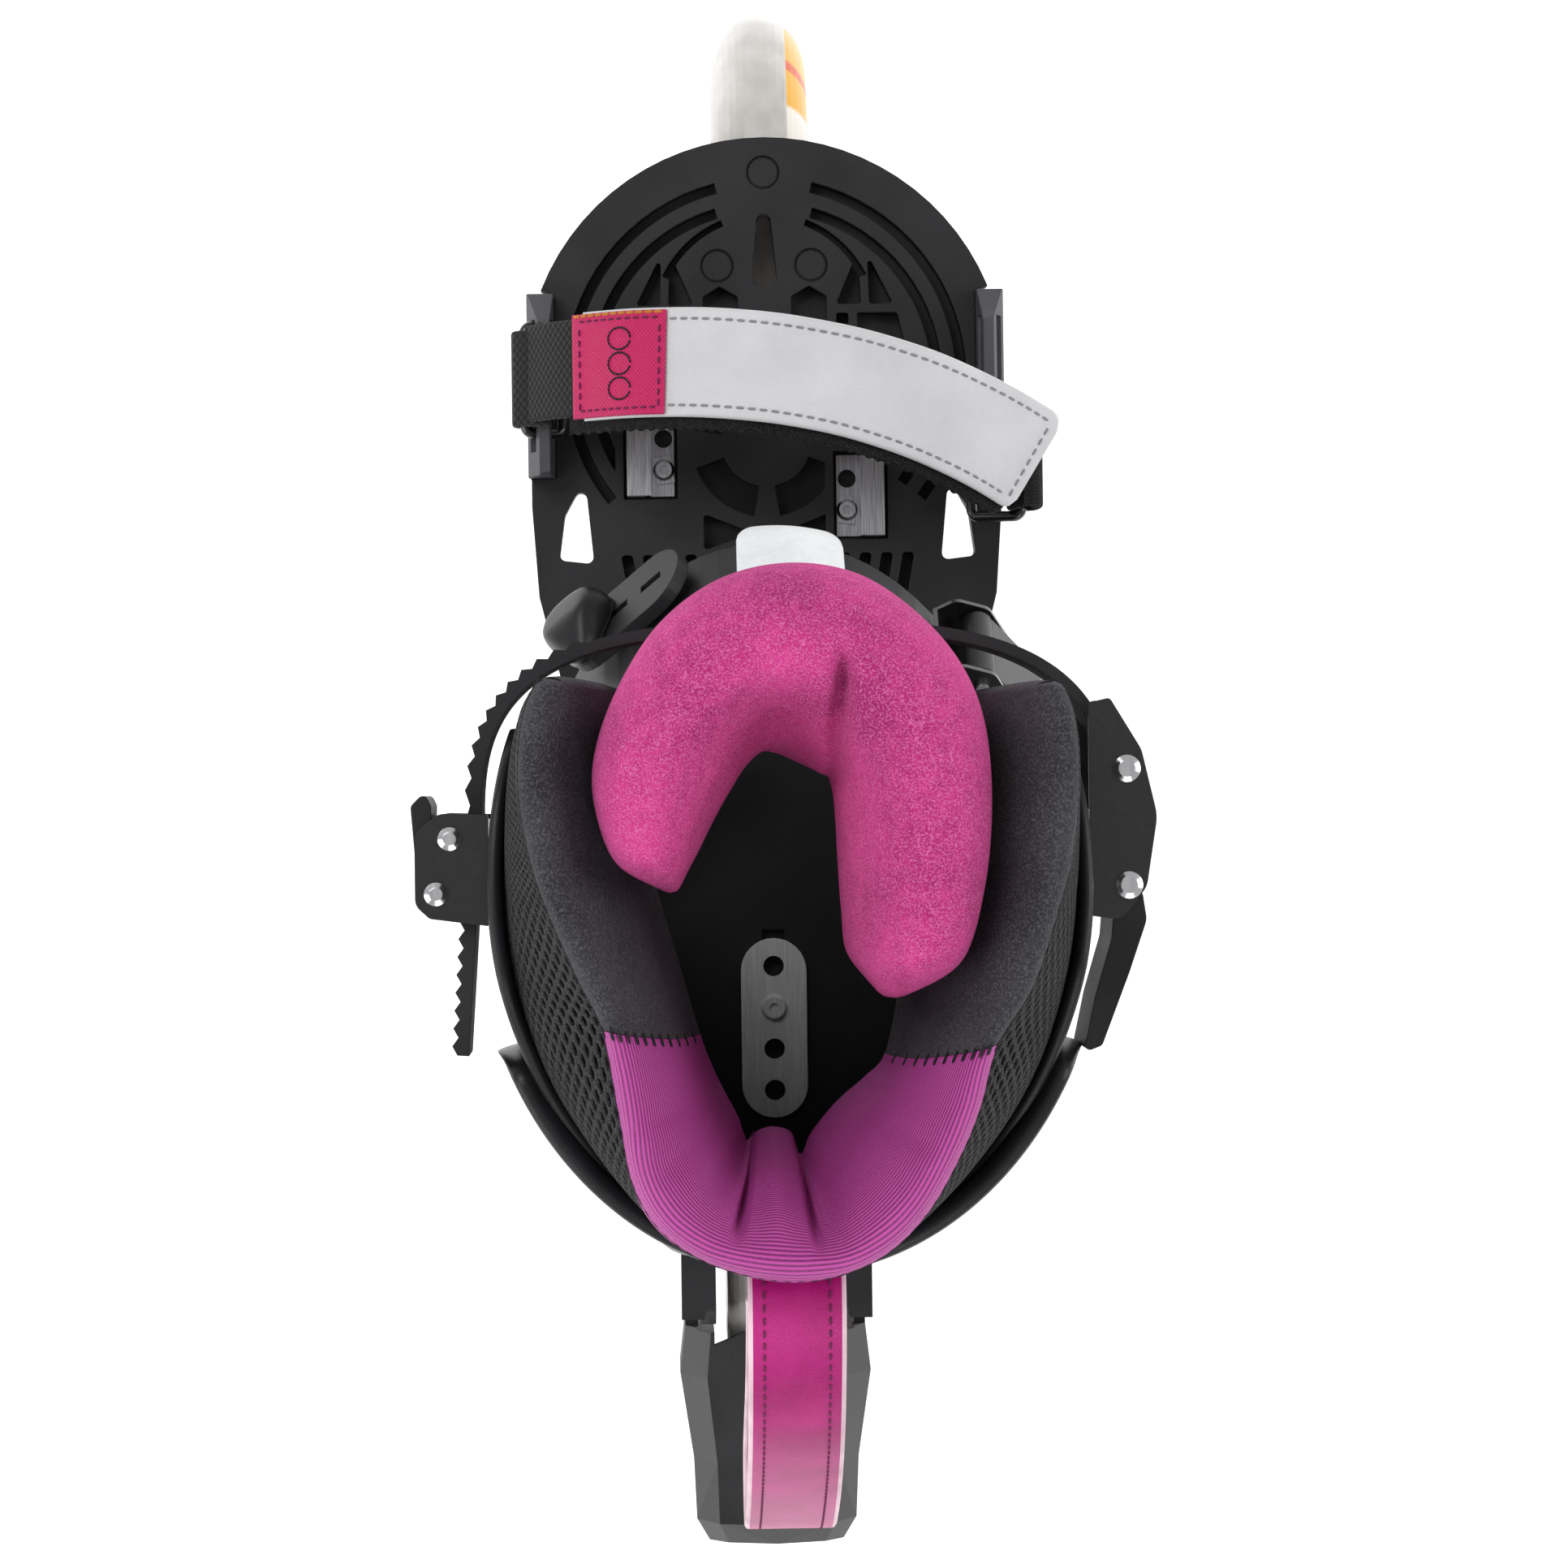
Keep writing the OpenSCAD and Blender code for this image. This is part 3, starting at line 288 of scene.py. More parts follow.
# %% Tyres
TYRE_R = 45.0


def tyre_material(name, axle_y, warm, deep):
    """Milky urethane with a printed band on the +X shoulder of the wheel at axle_y (metres)."""

    def build(tree, shader):
        place = coordinates(tree, "Object")
        local = add(tree, "VectorMath", {"operation": "SUBTRACT"}, _0=place,
                    _1=(0, axle_y, TYRE_R * MM)).outputs[0]
        axes = add(tree, "SeparateXYZ", Vector=local)
        flat = add(tree, "CombineXYZ", X=0.0, Y=axes.outputs["Y"], Z=axes.outputs["Z"])
        radius = add(tree, "VectorMath", {"operation": "LENGTH"}, _0=flat.outputs[0])
        angle = calc(tree, "ARCTAN2", axes.outputs["Z"], axes.outputs["Y"])
        milk = noise(tree, place, 9, 2.0)
        body = ramp(tree, milk, [(0.35, "#c3bfbb"), (0.7, "#d6d3cf")])

        def band(low, high, source, soft):
            """1 between low and high of source, fading over soft."""
            up = remap(tree, source, low=low - soft, high=low + soft, kind="SMOOTHSTEP")
            down = remap(tree, source, low=high - soft, high=high + soft, to_low=1.0, to_high=0.0,
                         kind="SMOOTHSTEP")
            return calc(tree, "MULTIPLY", up, down)

        side = band(0.0052, 0.03, axes.outputs["X"], 0.00015)
        ring = band(0.033, 0.0425, radius.outputs["Value"], 0.0002)
        printed = calc(tree, "MULTIPLY", side, ring)
        turn = calc(tree, "MULTIPLY", angle, 3.0)
        wave = calc(tree, "SINE", turn)
        stripe = band(-0.25, 2.0, wave, 0.06)
        colour = mix_colour(tree, stripe, linear("#f6efe6"), linear(warm))
        edge = band(0.55, 0.75, wave, 0.04)
        colour = mix_colour(tree, edge, colour, linear(deep))
        link(tree, shader, "Base Color", mix_colour(tree, printed, body, colour))
        put(shader, Roughness=0.3, Subsurface_Weight=0.25, Subsurface_Radius=(1, 0.9, 0.8),
            Subsurface_Scale=0.003, Coat_Weight=0.3, Coat_Roughness=0.2)

    return finish(name, build)


def mix_colour(tree, factor, first, second):
    """Mixes two colours, each a value or a socket, by a factor socket."""
    node = add(tree, "Mix", {"data_type": "RGBA"})
    tree.links.new(factor, node.inputs[0])
    for socket, value in ((node.inputs[6], first), (node.inputs[7], second)):
        if isinstance(value, bpy.types.NodeSocket):
            tree.links.new(value, socket)
        else:
            socket.default_value = value
    return node.outputs[2]


tyres = {
    "front_tyre": tyre_material("cast_urethane_front", 0.13, "#f2b211", "#e2571b"),
    "middle_tyre": tyre_material("cast_urethane_middle", 0.0, "#f2b211", "#e2571b"),
    "rear_tyre": tyre_material("cast_urethane_rear", -0.13, "#e8521c", "#f2b211"),
}


# %% [markdown]
# ## Fabrics
# Velour is a knitted pile: short upright fibres that look dark from above and catch light at a
# grazing angle, which a sheen layer imitates. The heel pad is a ribbed lycra. The ribs follow the
# second texture coordinate, which every padded piece keeps in millimetres across its width.

# %% Fabrics
def velour(dark, pale, fleck, sheen, pile_mm=0.55):
    """Recipe for short pile between two hex colours, with a few paler fibres."""

    def build(tree, shader):
        place = coordinates(tree, "Object")
        pile = noise(tree, place, pile_mm, 3.0)
        clump = noise(tree, place, 3.2, 3.0)
        cloud = noise(tree, place, 26, 1.0)
        mix = calc(tree, "MULTIPLY_ADD", clump, 0.6, cloud)
        body = ramp(tree, mix, [(0.55, dark), (1.02, pale)])
        spark = remap(tree, pile, low=0.45, high=0.8)
        link(tree, shader, "Base Color", mix_colour(tree, spark, body, linear(fleck)))
        put(shader, Roughness=0.95, Specular_IOR_Level=0.15, Sheen_Weight=sheen,
            Sheen_Roughness=0.45, Sheen_Tint=linear(fleck))
        both = calc(tree, "MULTIPLY_ADD", clump, 0.8, pile)
        relief(tree, shader, both, 0.0006, 0.8)

    return build


def ribbed(dark, pale, pitch_mm, sheen=0.35):
    """Recipe for ribbed lycra: rounded ribs along the first texture coordinate, painted dark in the
    valleys as shade.
    """

    def build(tree, shader):
        uv = coordinates(tree, "UV")
        place = coordinates(tree, "Object")
        across = add(tree, "SeparateXYZ", Vector=uv).outputs["Y"]
        sway = noise(tree, place, 18, 1.0)
        shifted = calc(tree, "MULTIPLY_ADD", sway, 1.6, across)
        turns = calc(tree, "MULTIPLY", shifted, 2 * math.pi / pitch_mm)
        wave = calc(tree, "SINE", turns)
        level = remap(tree, wave, low=-1.0)
        knit = noise(tree, place, 0.5, 2.0)
        knit_and_painted_rib_shade = calc(tree, "MULTIPLY_ADD", knit, 0.35, level)
        # Rib crests pale and valleys dark: painted shade that follows the rib wave; the knit noise is the
        # lycra's own tone.
        link(tree, shader, "Base Color", ramp(tree, knit_and_painted_rib_shade, [(0.1, dark), (0.75, pale)]))
        put(shader, Roughness=0.62, Sheen_Weight=sheen, Sheen_Roughness=0.4, Sheen_Tint=linear(pale))
        height = calc(tree, "MULTIPLY_ADD", knit, 0.2, level)
        relief(tree, shader, height, 0.00035, 0.9)

    return build


def woven(dark, pale, thread_mm, roughness=0.8, depth=0.0003):
    """Recipe for a plain weave: threads one way show where those of the other way dip, and the dips are
    painted dark as shade.
    """

    def build(tree, shader):
        uv = coordinates(tree, "UV")
        axes = add(tree, "SeparateXYZ", Vector=uv)
        waves = []
        for axis in ("X", "Y"):
            turns = calc(tree, "MULTIPLY", axes.outputs[axis], math.pi / thread_mm)
            waves.append(calc(tree, "SINE", turns))
        crossing = calc(tree, "MULTIPLY", waves[0], waves[1])
        level = remap(tree, crossing, low=-0.8, high=0.8)
        place = coordinates(tree, "Object")
        fibre = noise(tree, place, 0.4, 2.0)
        mix = calc(tree, "MULTIPLY_ADD", fibre, 0.5, level)
        # Dips dark and crossings pale: painted shade that follows the weave; the fibre noise is the
        # threads' own tone.
        link(tree, shader, "Base Color", ramp(tree, mix, [(0.2, dark), (1.1, pale)]))
        put(shader, Roughness=roughness, Sheen_Weight=0.06, Specular_IOR_Level=0.3)
        relief(tree, shader, mix, depth, 0.9)

    return build


def leather(dark, pale, roughness=0.42, grain_mm=0.9):
    """Recipe for coated leather: small cells of grain under a smooth finish."""

    def build(tree, shader):
        place = coordinates(tree, "Object")
        cells = add(tree, "TexVoronoi", {"feature": "DISTANCE_TO_EDGE"}, Vector=place,
                    Scale=per_metre(grain_mm))
        cloud = noise(tree, place, 14, 3.0)
        link(tree, shader, "Base Color", ramp(tree, cloud, [(0.3, dark), (0.7, pale)]))
        put(shader, Roughness=roughness, Specular_IOR_Level=0.3)
        crease = remap(tree, cells.outputs["Distance"], high=0.12)
        relief(tree, shader, crease, 0.00004, 0.8)

    return build


black_velour = finish("black_velour", velour("#29292b", "#3a3a3d", "#5c5c60", 0.35))
pink_velour = finish("pink_velour", velour("#9c2064", "#cb3a86", "#e07db4", 0.3, pile_mm=0.4))
pink_lycra = finish("ribbed_lycra", ribbed("#661a55", "#bd479f", 1.15))
inner_knit = finish("inner_knit", velour("#131314", "#202022", "#333336", 0.15))
spacer_knit = finish("spacer_knit", velour("#1c1c1d", "#2a2a2b", "#5a5a5c", 0.3, pile_mm=0.35))
# Wall behind the spacer net: black knit painted darker than the net, as shade seen through its holes.
wall_knit_with_painted_shade = finish("wall_knit_with_painted_shade", velour("#0b0b0b", "#131314", "#222224", 0.1))
black_webbing = finish("black_webbing", woven("#0b0b0c", "#1f1f21", 1.1))
hook_tape = finish("hook_and_loop", velour("#0f0f10", "#1c1c1d", "#38383a", 0.2, pile_mm=0.4))
patch_weave = finish("patch_weave", woven("#a40a48", "#cc1562", 0.55, roughness=0.5, depth=0.00015))
strap_leather = finish("toe_leather", leather("#c6c7c9", "#d0d1d3"))
loop_leather = finish("loop_leather", leather("#9a1064", "#b31a78", roughness=0.42))
cut_edge = finish("cut_leather_edge", leather("#c9a8b4", "#e8ccd4", roughness=0.7))
grey_thread = finish("grey_thread", woven("#8a8a8d", "#b4b4b6", 0.2))
black_thread = finish("black_thread", woven("#0c0c0c", "#26262a", 0.2))
plum_thread = finish("plum_thread", woven("#5c1440", "#8e2364", 0.2))
orange_thread = finish("orange_thread", woven("#c96a14", "#f0a040", 0.2))
print("Materials:", len(bpy.data.materials))


# %% [markdown]
# ## Mesh helpers
# Lengths below are in millimetres, in the CAD frame, and turn into metres when a mesh is made.
# A grid of points makes most pieces: it can wrap round into a tube and close its two ends. A
# wall is such a tube, flattened: an outer face, a rounded lip, an inner face and a rounded foot.

# %% Mesh helpers
def norm(a):
    return np.linalg.norm(a, axis=-1, keepdims=True)


def unit(a):
    return a / np.maximum(norm(a), 1e-9)


def smooth(xs, ys, x):
    """Smooth curve through (xs, ys) at x. ys may be numbers or points."""
    xs, ys = np.asarray(xs, float), np.asarray(ys, float)
    slope = np.gradient(ys, xs, axis=0)
    x = np.clip(np.asarray(x, float), xs[0], xs[-1])
    i = np.clip(np.searchsorted(xs, x, side="right") - 1, 0, len(xs) - 2)
    h = xs[i + 1] - xs[i]
    t = (x - xs[i]) / h
    if ys.ndim > 1:
        t, h = t[..., None], h[..., None]
    return ((2 * t**3 - 3 * t**2 + 1) * ys[i] + (t**3 - 2 * t**2 + t) * h * slope[i]
            + (-2 * t**3 + 3 * t**2) * ys[i + 1] + (t**3 - t**2) * h * slope[i + 1])


def ring(points, count):
    """count points of a smooth closed curve through the given ones."""
    points = np.asarray(points, float)
    n = len(points)
    around = np.concatenate([points[-3:], points, points[:3]])
    return smooth(np.arange(-3, n + 3), around, np.arange(count) * n / count)


def ease(x):
    x = np.clip(x, 0, 1)
    return x * x * (3 - 2 * x)


def bell(x, width):
    return np.exp(-((x / width) ** 2))


def stack(*columns):
    return np.stack(np.broadcast_arrays(*columns), axis=-1)


def mesh_piece(name, points, faces, material, uv=None):
    """A new object from points in millimetres, with its faces turned outwards."""
    mesh = bpy.data.meshes.new(name)
    mesh.from_pydata((np.asarray(points) * MM).tolist(), [], faces)
    if uv is not None:
        layer = mesh.uv_layers.new(name="UVMap")
        corner = np.empty(len(mesh.loops), dtype=np.int32)
        mesh.loops.foreach_get("vertex_index", corner)
        layer.data.foreach_set("uv", np.asarray(uv, float)[corner].ravel())
    mesh.polygons.foreach_set("use_smooth", [True] * len(mesh.polygons))
    mesh.materials.append(material)
    turned = bmesh.new()
    turned.from_mesh(mesh)
    bmesh.ops.recalc_face_normals(turned, faces=turned.faces)
    turned.to_mesh(mesh)
    turned.free()
    piece = bpy.data.objects.new(name, mesh)
    bpy.context.collection.objects.link(piece)
    return piece


def grid(name, P, material, wrap=False, caps=False):
    """Piece from an array of points P[i][j]; wrap joins the last column to the first."""
    nu, nv = P.shape[:2]
    index = np.arange(nu * nv).reshape(nu, nv)
    right = np.roll(index, -1, axis=1) if wrap else index[:, 1:]
    here = index if wrap else index[:, :-1]
    quads = np.stack([here[:-1], here[1:], right[1:], right[:-1]], axis=-1).reshape(-1, 4)
    faces = quads.tolist()
    if caps:
        faces += [index[0].tolist(), index[-1, ::-1].tolist()]
    along = np.concatenate([[0], np.cumsum(norm(np.diff(P, axis=0)).mean(axis=(1, 2)))])
    across = np.concatenate([np.zeros((nu, 1)), np.cumsum(norm(np.diff(P, axis=1))[..., 0], axis=1)],
                            axis=1)
    uv = stack(along[:, None], across).reshape(-1, 2)
    return mesh_piece(name, P.reshape(-1, 3), faces, material, uv)


def turn(a, b, up, steps):
    """Half circles from a to b that bulge towards up."""
    middle, half = (a + b) / 2, (a - b) / 2
    up = unit(up) * norm(half)
    return np.stack([middle + half * math.cos(t) + up * math.sin(t)
                     for t in np.linspace(0, math.pi, steps + 2)[1:-1]], axis=1)


def wall(name, outer, inner, nu, nv, material, lip=5, edge_material=None):
    """Sheet between two surfaces, each a function of u and v from 0 to 1, with rounded edges."""
    u = np.linspace(0, 1, nu + 1)[:, None]
    v = np.linspace(0, 1, nv + 1)[None, :]
    out, ins = outer(u, v), inner(u, v)
    top = turn(out[:, -1], ins[:, -1], out[:, -1] - out[:, -2], lip)
    low = turn(ins[:, 0], out[:, 0], out[:, 0] - out[:, 1], lip)
    P = np.concatenate([out, top, ins[:, ::-1], low], axis=1)
    piece = grid(name, P, material, wrap=True, caps=True)
    if edge_material is not None:
        piece.data.materials.append(edge_material)
        columns = P.shape[1]
        for polygon in piece.data.polygons:
            column = polygon.index % columns
            on_edge = nv <= column < nv + lip + 1 or column >= 2 * nv + lip + 1
            if polygon.index >= nu * columns or on_edge:
                polygon.material_index = 1
    piece.data.set_sharp_from_angle(angle=math.radians(60))
    return piece


def stitches(name, paths, material, length=2.2, gap=1.1, radius=0.32):
    """Rows of stitches: paths is a list of (points, normals) in millimetres."""
    shape = np.array([(-0.5, 0.05), (-0.42, 0.8), (-0.2, 1), (0.2, 1), (0.42, 0.8), (0.5, 0.05)])
    points, faces = [], []
    for line, up in paths:
        line, up = np.asarray(line, float), np.asarray(up, float)
        run = np.concatenate([[0], np.cumsum(norm(np.diff(line, axis=0))[:, 0])])
        for at in np.arange(length / 2, run[-1] - length / 2, length + gap):
            def on(d):
                return np.array([np.interp(d, run, line[:, k]) for k in range(3)])

            def lift(d):
                return unit(np.array([np.interp(d, run, up[:, k]) for k in range(3)]))

            rise = lift(at)
            tangent = unit(on(at + length / 2) - on(at - length / 2))
            side = unit(np.cross(rise, tangent))
            start = len(points)
            for share, size in shape:
                middle = on(at + share * length) + rise * (radius * (0.5 - 1.6 * share * share))
                for k in range(6):
                    turn_by = k * math.pi / 3
                    points.append(middle + (side * math.cos(turn_by) + rise * math.sin(turn_by))
                                  * radius * size)
            for j in range(len(shape) - 1):
                for k in range(6):
                    a, b = start + 6 * j + k, start + 6 * j + (k + 1) % 6
                    faces.append([a, b, b + 6, a + 6])
            faces.append([start + k for k in range(5, -1, -1)])
            faces.append([start + 6 * (len(shape) - 1) + k for k in range(6)])
    points = np.array(points)
    return mesh_piece(name, points, faces, material, points[:, :2])


# %% [markdown]
# ## The cuff's outline
# These functions repeat the CAD cuff: s runs from -1 at the left front, round the back, to 1 at
# the right front. The shell, the mesh wall and all the pads hang on them, so every layer follows
# the one outside it.

# %% Cuff outline
def table(rows, z):
    rows = np.asarray(rows, float)
    return np.interp(z, rows[:, 0], rows[:, 1])


def u_path(s, a, b, yc, run, tuck):
    q = np.maximum(0, 2 * np.abs(s) - 1)
    back = np.abs(s) <= 0.5
    x = np.where(back, a * np.sin(np.pi * s), np.sign(s) * a * (1 - tuck * q * q))
    return x, np.where(back, yc - b * np.cos(np.pi * s), yc + run * q)


def cuff_point(s, z, off):
    a = table([(200, 57.6), (225, 58.2), (298, 62.4), (306, 63)], z)
    yc = table([(200, -74), (300, -42), (340, -38)], z)
    back = table([(200, -128), (250, -124), (300, -119), (340, -116)], z)
    run = table([(200, 34), (300, 38), (340, 40)], z)
    tuck = table([(200, 0), (240, 0.02), (300, 0.07), (340, 0.08)], z)
    x, y = u_path(s, a - off, yc - back - off, yc, run, tuck)
    return stack(x, y, z)


RIM_S = [0, 0.0625, 0.125, 0.1875, 0.25, 0.3125, 0.375, 0.4375, 0.5, 0.625, 0.75, 0.875, 1]
RIM_LEFT = [(0, -121.8), (9.8, -120.6), (20, -117), (28.5, -110.5), (33.6, -101), (36, -88),
            (39.2, -70.5), (44, -60), (49.6, -47), (54.2, -32), (55.8, -18), (54.4, -5), (49.6, 5)]
RIM_RIGHT = [(0, -121.8), (9.5, -120.4), (18.5, -116), (26.5, -108), (33, -97), (37.3, -87),
             (41, -74.5), (48.6, -62), (54, -46), (57.4, -32), (58.4, -18), (57.4, -6), (53.6, 2.5)]
RIM_ALL_S = [-s for s in RIM_S[:0:-1]] + RIM_S
RIM_ALL = [(-x, y) for x, y in RIM_LEFT[:0:-1]] + RIM_RIGHT
RIM_Z = 333


def rim(s):
    return smooth(RIM_ALL_S, RIM_ALL, s)


def lining(s, z, off):
    """Outer face of the padded lining, off inside it."""
    low = cuff_point(s, np.minimum(z, 296), 3.2)[..., :2]
    f = np.clip((z - 296) / (RIM_Z - 296), 0, 1)[..., None] ** 1.25
    p = low * (1 - f) + rim(s) * f
    centre = stack(np.zeros_like(p[..., 1]), np.clip(p[..., 1], -82, -12))
    q = p + unit(centre - p) * np.asarray(off)[..., None]
    return stack(q[..., 0], q[..., 1], z)


# %% [markdown]
# ## Cuff shell and spoiler
# The moulded shell wraps the ankle, with a rounded lip that flares out a little. The spoiler is
# a second, thicker skin across the back, with two stiffening ribs and rounded upper corners.

# %% Shell and spoiler
def shell_low(s):
    return 210 + 34 * np.abs(s) ** 3


def shell_high(s):
    a = np.abs(s)
    return 304 - 16 * a**5 - 20 * np.maximum(0, 1 - a / 0.42) ** 0.8


def shell_face(off, flare):
    def face(u, v):
        s = 2 * u - 1
        z = shell_low(s) + (shell_high(s) - shell_low(s)) * v
        groove = 0.7 * bell(v - 0.16, 0.03)
        return cuff_point(s, z, off - flare * ease((v - 0.88) / 0.12) + groove)

    return face


shell_skin = wall("shell_skin", shell_face(0, 0.9), shell_face(2.7, 0.5), 150, 26, shell_nylon)


def spoiler_face(off, lip_extra, relief):
    def face(u, v):
        s = (2 * u - 1) * 0.385
        edge = np.abs(s) / 0.385
        high = 297 - 26 * np.maximum(0, edge - 0.86) / 0.14 * np.maximum(0, edge - 0.86) / 0.14 * 0.8
        z = 226 + 14 * edge**6 + (high - 226 - 14 * edge**6) * v
        rib = relief * sum(bell(s - k, 0.02) for k in (-0.13, 0.13)) * ease(v / 0.15) * ease(
            (0.85 - v) / 0.1)
        return cuff_point(s, z, off - lip_extra * ease((v - 0.93) / 0.07)
                          - 0.6 * relief * ease((edge - 0.93) / 0.07) - rib)

    return face


spoiler_skin = wall("spoiler_skin", spoiler_face(-3.2, 1.6, 1.0), spoiler_face(-0.4, -0.4, 0), 110, 22,
                    shell_nylon, lip=7)
for piece, node in ((shell_skin, "cuff_shell"), (spoiler_skin, "cuff_spoiler")):
    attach(piece, "cuff")
    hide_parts(node)
print("Shell box:", [round(c, 3) for c in shell_skin.bound_box[0]], "points:",
      len(shell_skin.data.vertices) + len(spoiler_skin.data.vertices))


# %% [markdown]
# ## Spacer mesh wall
# Above the shell the padded lining shows its outside: a coarse spacer mesh with six-sided holes
# about 2 mm across. The holes are real. A sheet of small hexagon rings is bent round the cuff
# and thickened, with a black knitted wall behind it, painted darker than the net as shade in the holes.

# %% Mesh wall
WALL_END = 0.97


def wall_face(off, low=229.0, high=RIM_Z - 1.5):
    def face(u, v):
        s = (2 * u - 1) * WALL_END
        z = low + (high - low) * v + 0 * s
        return lining(s, z, off + 0 * s + 0 * v)

    return face


mesh_wall = wall("mesh_wall", wall_face(0.9), wall_face(4.4), 120, 30, wall_knit_with_painted_shade)


def hexagon_net(name, place, width, height, pitch, hole, thickness, material):
    """Sheet of hexagon rings; place(x, y) bends flat millimetres to where they belong."""
    rows = int(height / (pitch * 0.866))
    columns = int(width / pitch)
    row, column = np.meshgrid(np.arange(rows), np.arange(columns), indexing="ij")
    centre = stack((column + 0.5 * (row % 2)) * pitch, (row + 0.5) * pitch * 0.866).reshape(-1, 2)
    angle = np.radians(30 + 60 * np.arange(6))
    spoke = stack(np.cos(angle), np.sin(angle))
    outer = centre[:, None] + spoke * pitch / math.sqrt(3)
    inner = centre[:, None] + spoke * hole / 2
    keys = np.round(outer.reshape(-1, 2) / 0.05).astype(int)
    unique, first, back = np.unique(keys, axis=0, return_index=True, return_inverse=True)
    flat = np.concatenate([outer.reshape(-1, 2)[first], inner.reshape(-1, 2)])
    outer_id = back.reshape(-1, 6)
    inner_id = len(unique) + np.arange(len(centre) * 6).reshape(-1, 6)
    quads = np.stack([outer_id, np.roll(outer_id, -1, 1), np.roll(inner_id, -1, 1), inner_id], -1)
    piece = mesh_piece(name, place(flat[:, 0], flat[:, 1]), quads.reshape(-1, 4).tolist(), material,
                       flat)
    thick = piece.modifiers.new("thickness", "SOLIDIFY")
    thick.thickness = thickness * MM
    thick.offset = 0
    return piece


NET_LENGTH = 318.0
NET_HEIGHT = 53.0


def net_place(x, y):
    s = np.clip((x / NET_LENGTH * 2 - 1) * WALL_END, -WALL_END, WALL_END)
    v = np.clip(y / NET_HEIGHT, 0, 1)
    z = 286 + (RIM_Z + 0.5 - 286) * v
    puff = 1.3 * np.sin(np.pi * np.clip((z - 290) / 40, 0, 1))
    return lining(s, z, -0.2 - puff)


mesh_net = hexagon_net("mesh_net", net_place, NET_LENGTH, NET_HEIGHT, 2.9, 2.15, 0.7, spacer_knit)
for piece in (mesh_wall, mesh_net):
    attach(piece, "cuff")
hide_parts("liner")
print("Mesh net cells:", len(mesh_net.data.polygons) // 6)


# %% [markdown]
# ## Collar pads
# Each pad is one closed form. Its section rolls over the rim, slopes down inside the boot and
# comes back up along the wall. The heel pad has two plump lobes and a small tab between them,
# with a crease on each side of the tab.

# %% Collar pads
INNER = [(-1, (-34, 2)), (-0.875, (-32, -5)), (-0.75, (-31, -17)), (-0.625, (-30, -31)),
         (-0.5, (-27.5, -45)), (-0.4375, (-23.5, -59)), (-0.375, (-19, -75)), (-0.3125, (-16, -83)),
         (-0.25, (-13.6, -88)), (-0.1875, (-11, -93)), (-0.125, (-8.8, -98.5)), (-0.09, (-7.6, -97)),
         (-0.03, (-3.4, -95.5)), (0.02, (0.8, -97)), (0.06, (2.4, -101.5)), (0.125, (5, -97)),
         (0.1875, (9, -92)), (0.25, (12.6, -88.5)), (0.3125, (16.8, -85)), (0.375, (21.4, -80)),
         (0.4375, (24.6, -66)), (0.5, (27.5, -49)), (0.625, (31, -33)), (0.75, (33, -18)),
         (0.875, (35, -6)), (1, (38, 0))]
INNER_S = [s for s, p in INNER]
INNER_P = [p for s, p in INNER]
PAD_SECTION = [(-0.035, 322), (-0.03, 331), (0.03, 336.5), (0.14, 338), (0.3, 334), (0.52, 322),
               (0.76, 302), (0.94, 270), (1.0, 250), (0.93, 238), (0.66, 234), (0.32, 245),
               (0.12, 275), (0.03, 304)]


def collar(s, section, low_lift=0.0):
    """Points of a pad for each s: section is a closed list of (share of the way in, height)."""
    share, z = section[:, 0], section[:, 1]
    start, end = rim(s)[:, None], smooth(INNER_S, INNER_P, s)[:, None]
    xy = start + (end - start) * share[None, :, None]
    return stack(xy[..., 0], xy[..., 1], z[None, :] + low_lift)


def pad_grid(name, s0, s1, count, material, round_start, round_end, shape=None):
    section = ring(PAD_SECTION, 64)
    s = np.linspace(s0, s1, count)
    P = collar(s, section)
    if shape is not None:
        P = shape(P, s, section)
    middle = P.mean(axis=1, keepdims=True)
    step = np.arange(count)
    size = np.ones(count)
    for at_start, radius in ((True, round_start), (False, round_end)):
        if radius == 0:
            continue
        d = (step if at_start else count - 1 - step) * abs(s1 - s0) / (count - 1) * 265
        size = np.minimum(size, np.sqrt(np.clip(1 - (1 - np.minimum(d / radius, 1)) ** 2, 0.02, 1)))
    P = middle + (P - middle) * (1 - 0.5 * (1 - size))[:, None, None]
    piece = grid(name, P, material, wrap=True, caps=True)
    piece.data.set_sharp_from_angle(angle=math.radians(65))
    return piece


def heel_shape(P, s, section):
    """Swells the lobes and presses in the creases beside the tab."""
    share = section[None, :, 0]
    top = (section[:, 1] > 250)[None, :] * np.ones_like(share)
    crease = bell(s + 0.092, 0.0085) + bell(s - 0.034, 0.0085)
    depth = ease((share - 0.18) / 0.35) * top
    lobe = bell(s + 0.2, 0.09) + bell(s - 0.19, 0.09)
    swell = np.sin(np.pi * np.clip(share, 0, 1)) * top
    P = P.copy()
    P[..., 2] -= 12 * crease[:, None] * depth
    P[..., 2] += (5.0 * lobe[:, None] - 1.0) * swell
    tab = bell(s + 0.03, 0.03)
    P[..., 2] += 4 * tab[:, None] * depth
    fold = 1.6 * bell(s + 0.235, 0.02) + 1.2 * bell(s + 0.3, 0.014) + 1.4 * bell(s - 0.25, 0.018)
    P[..., 2] -= fold[:, None] * ease((share - 0.1) / 0.3) * ease((0.8 - share) / 0.3) * top
    return P


def side_shape(P, s, section):
    share = section[None, :, 0]
    top = (section[:, 1] > 250)[None, :]
    wave = 1.4 * np.sin(np.abs(s) * 31)[:, None] * np.sin(np.pi * np.clip(share, 0, 1)) * top
    P = P.copy()
    P[..., 2] += wave
    return P


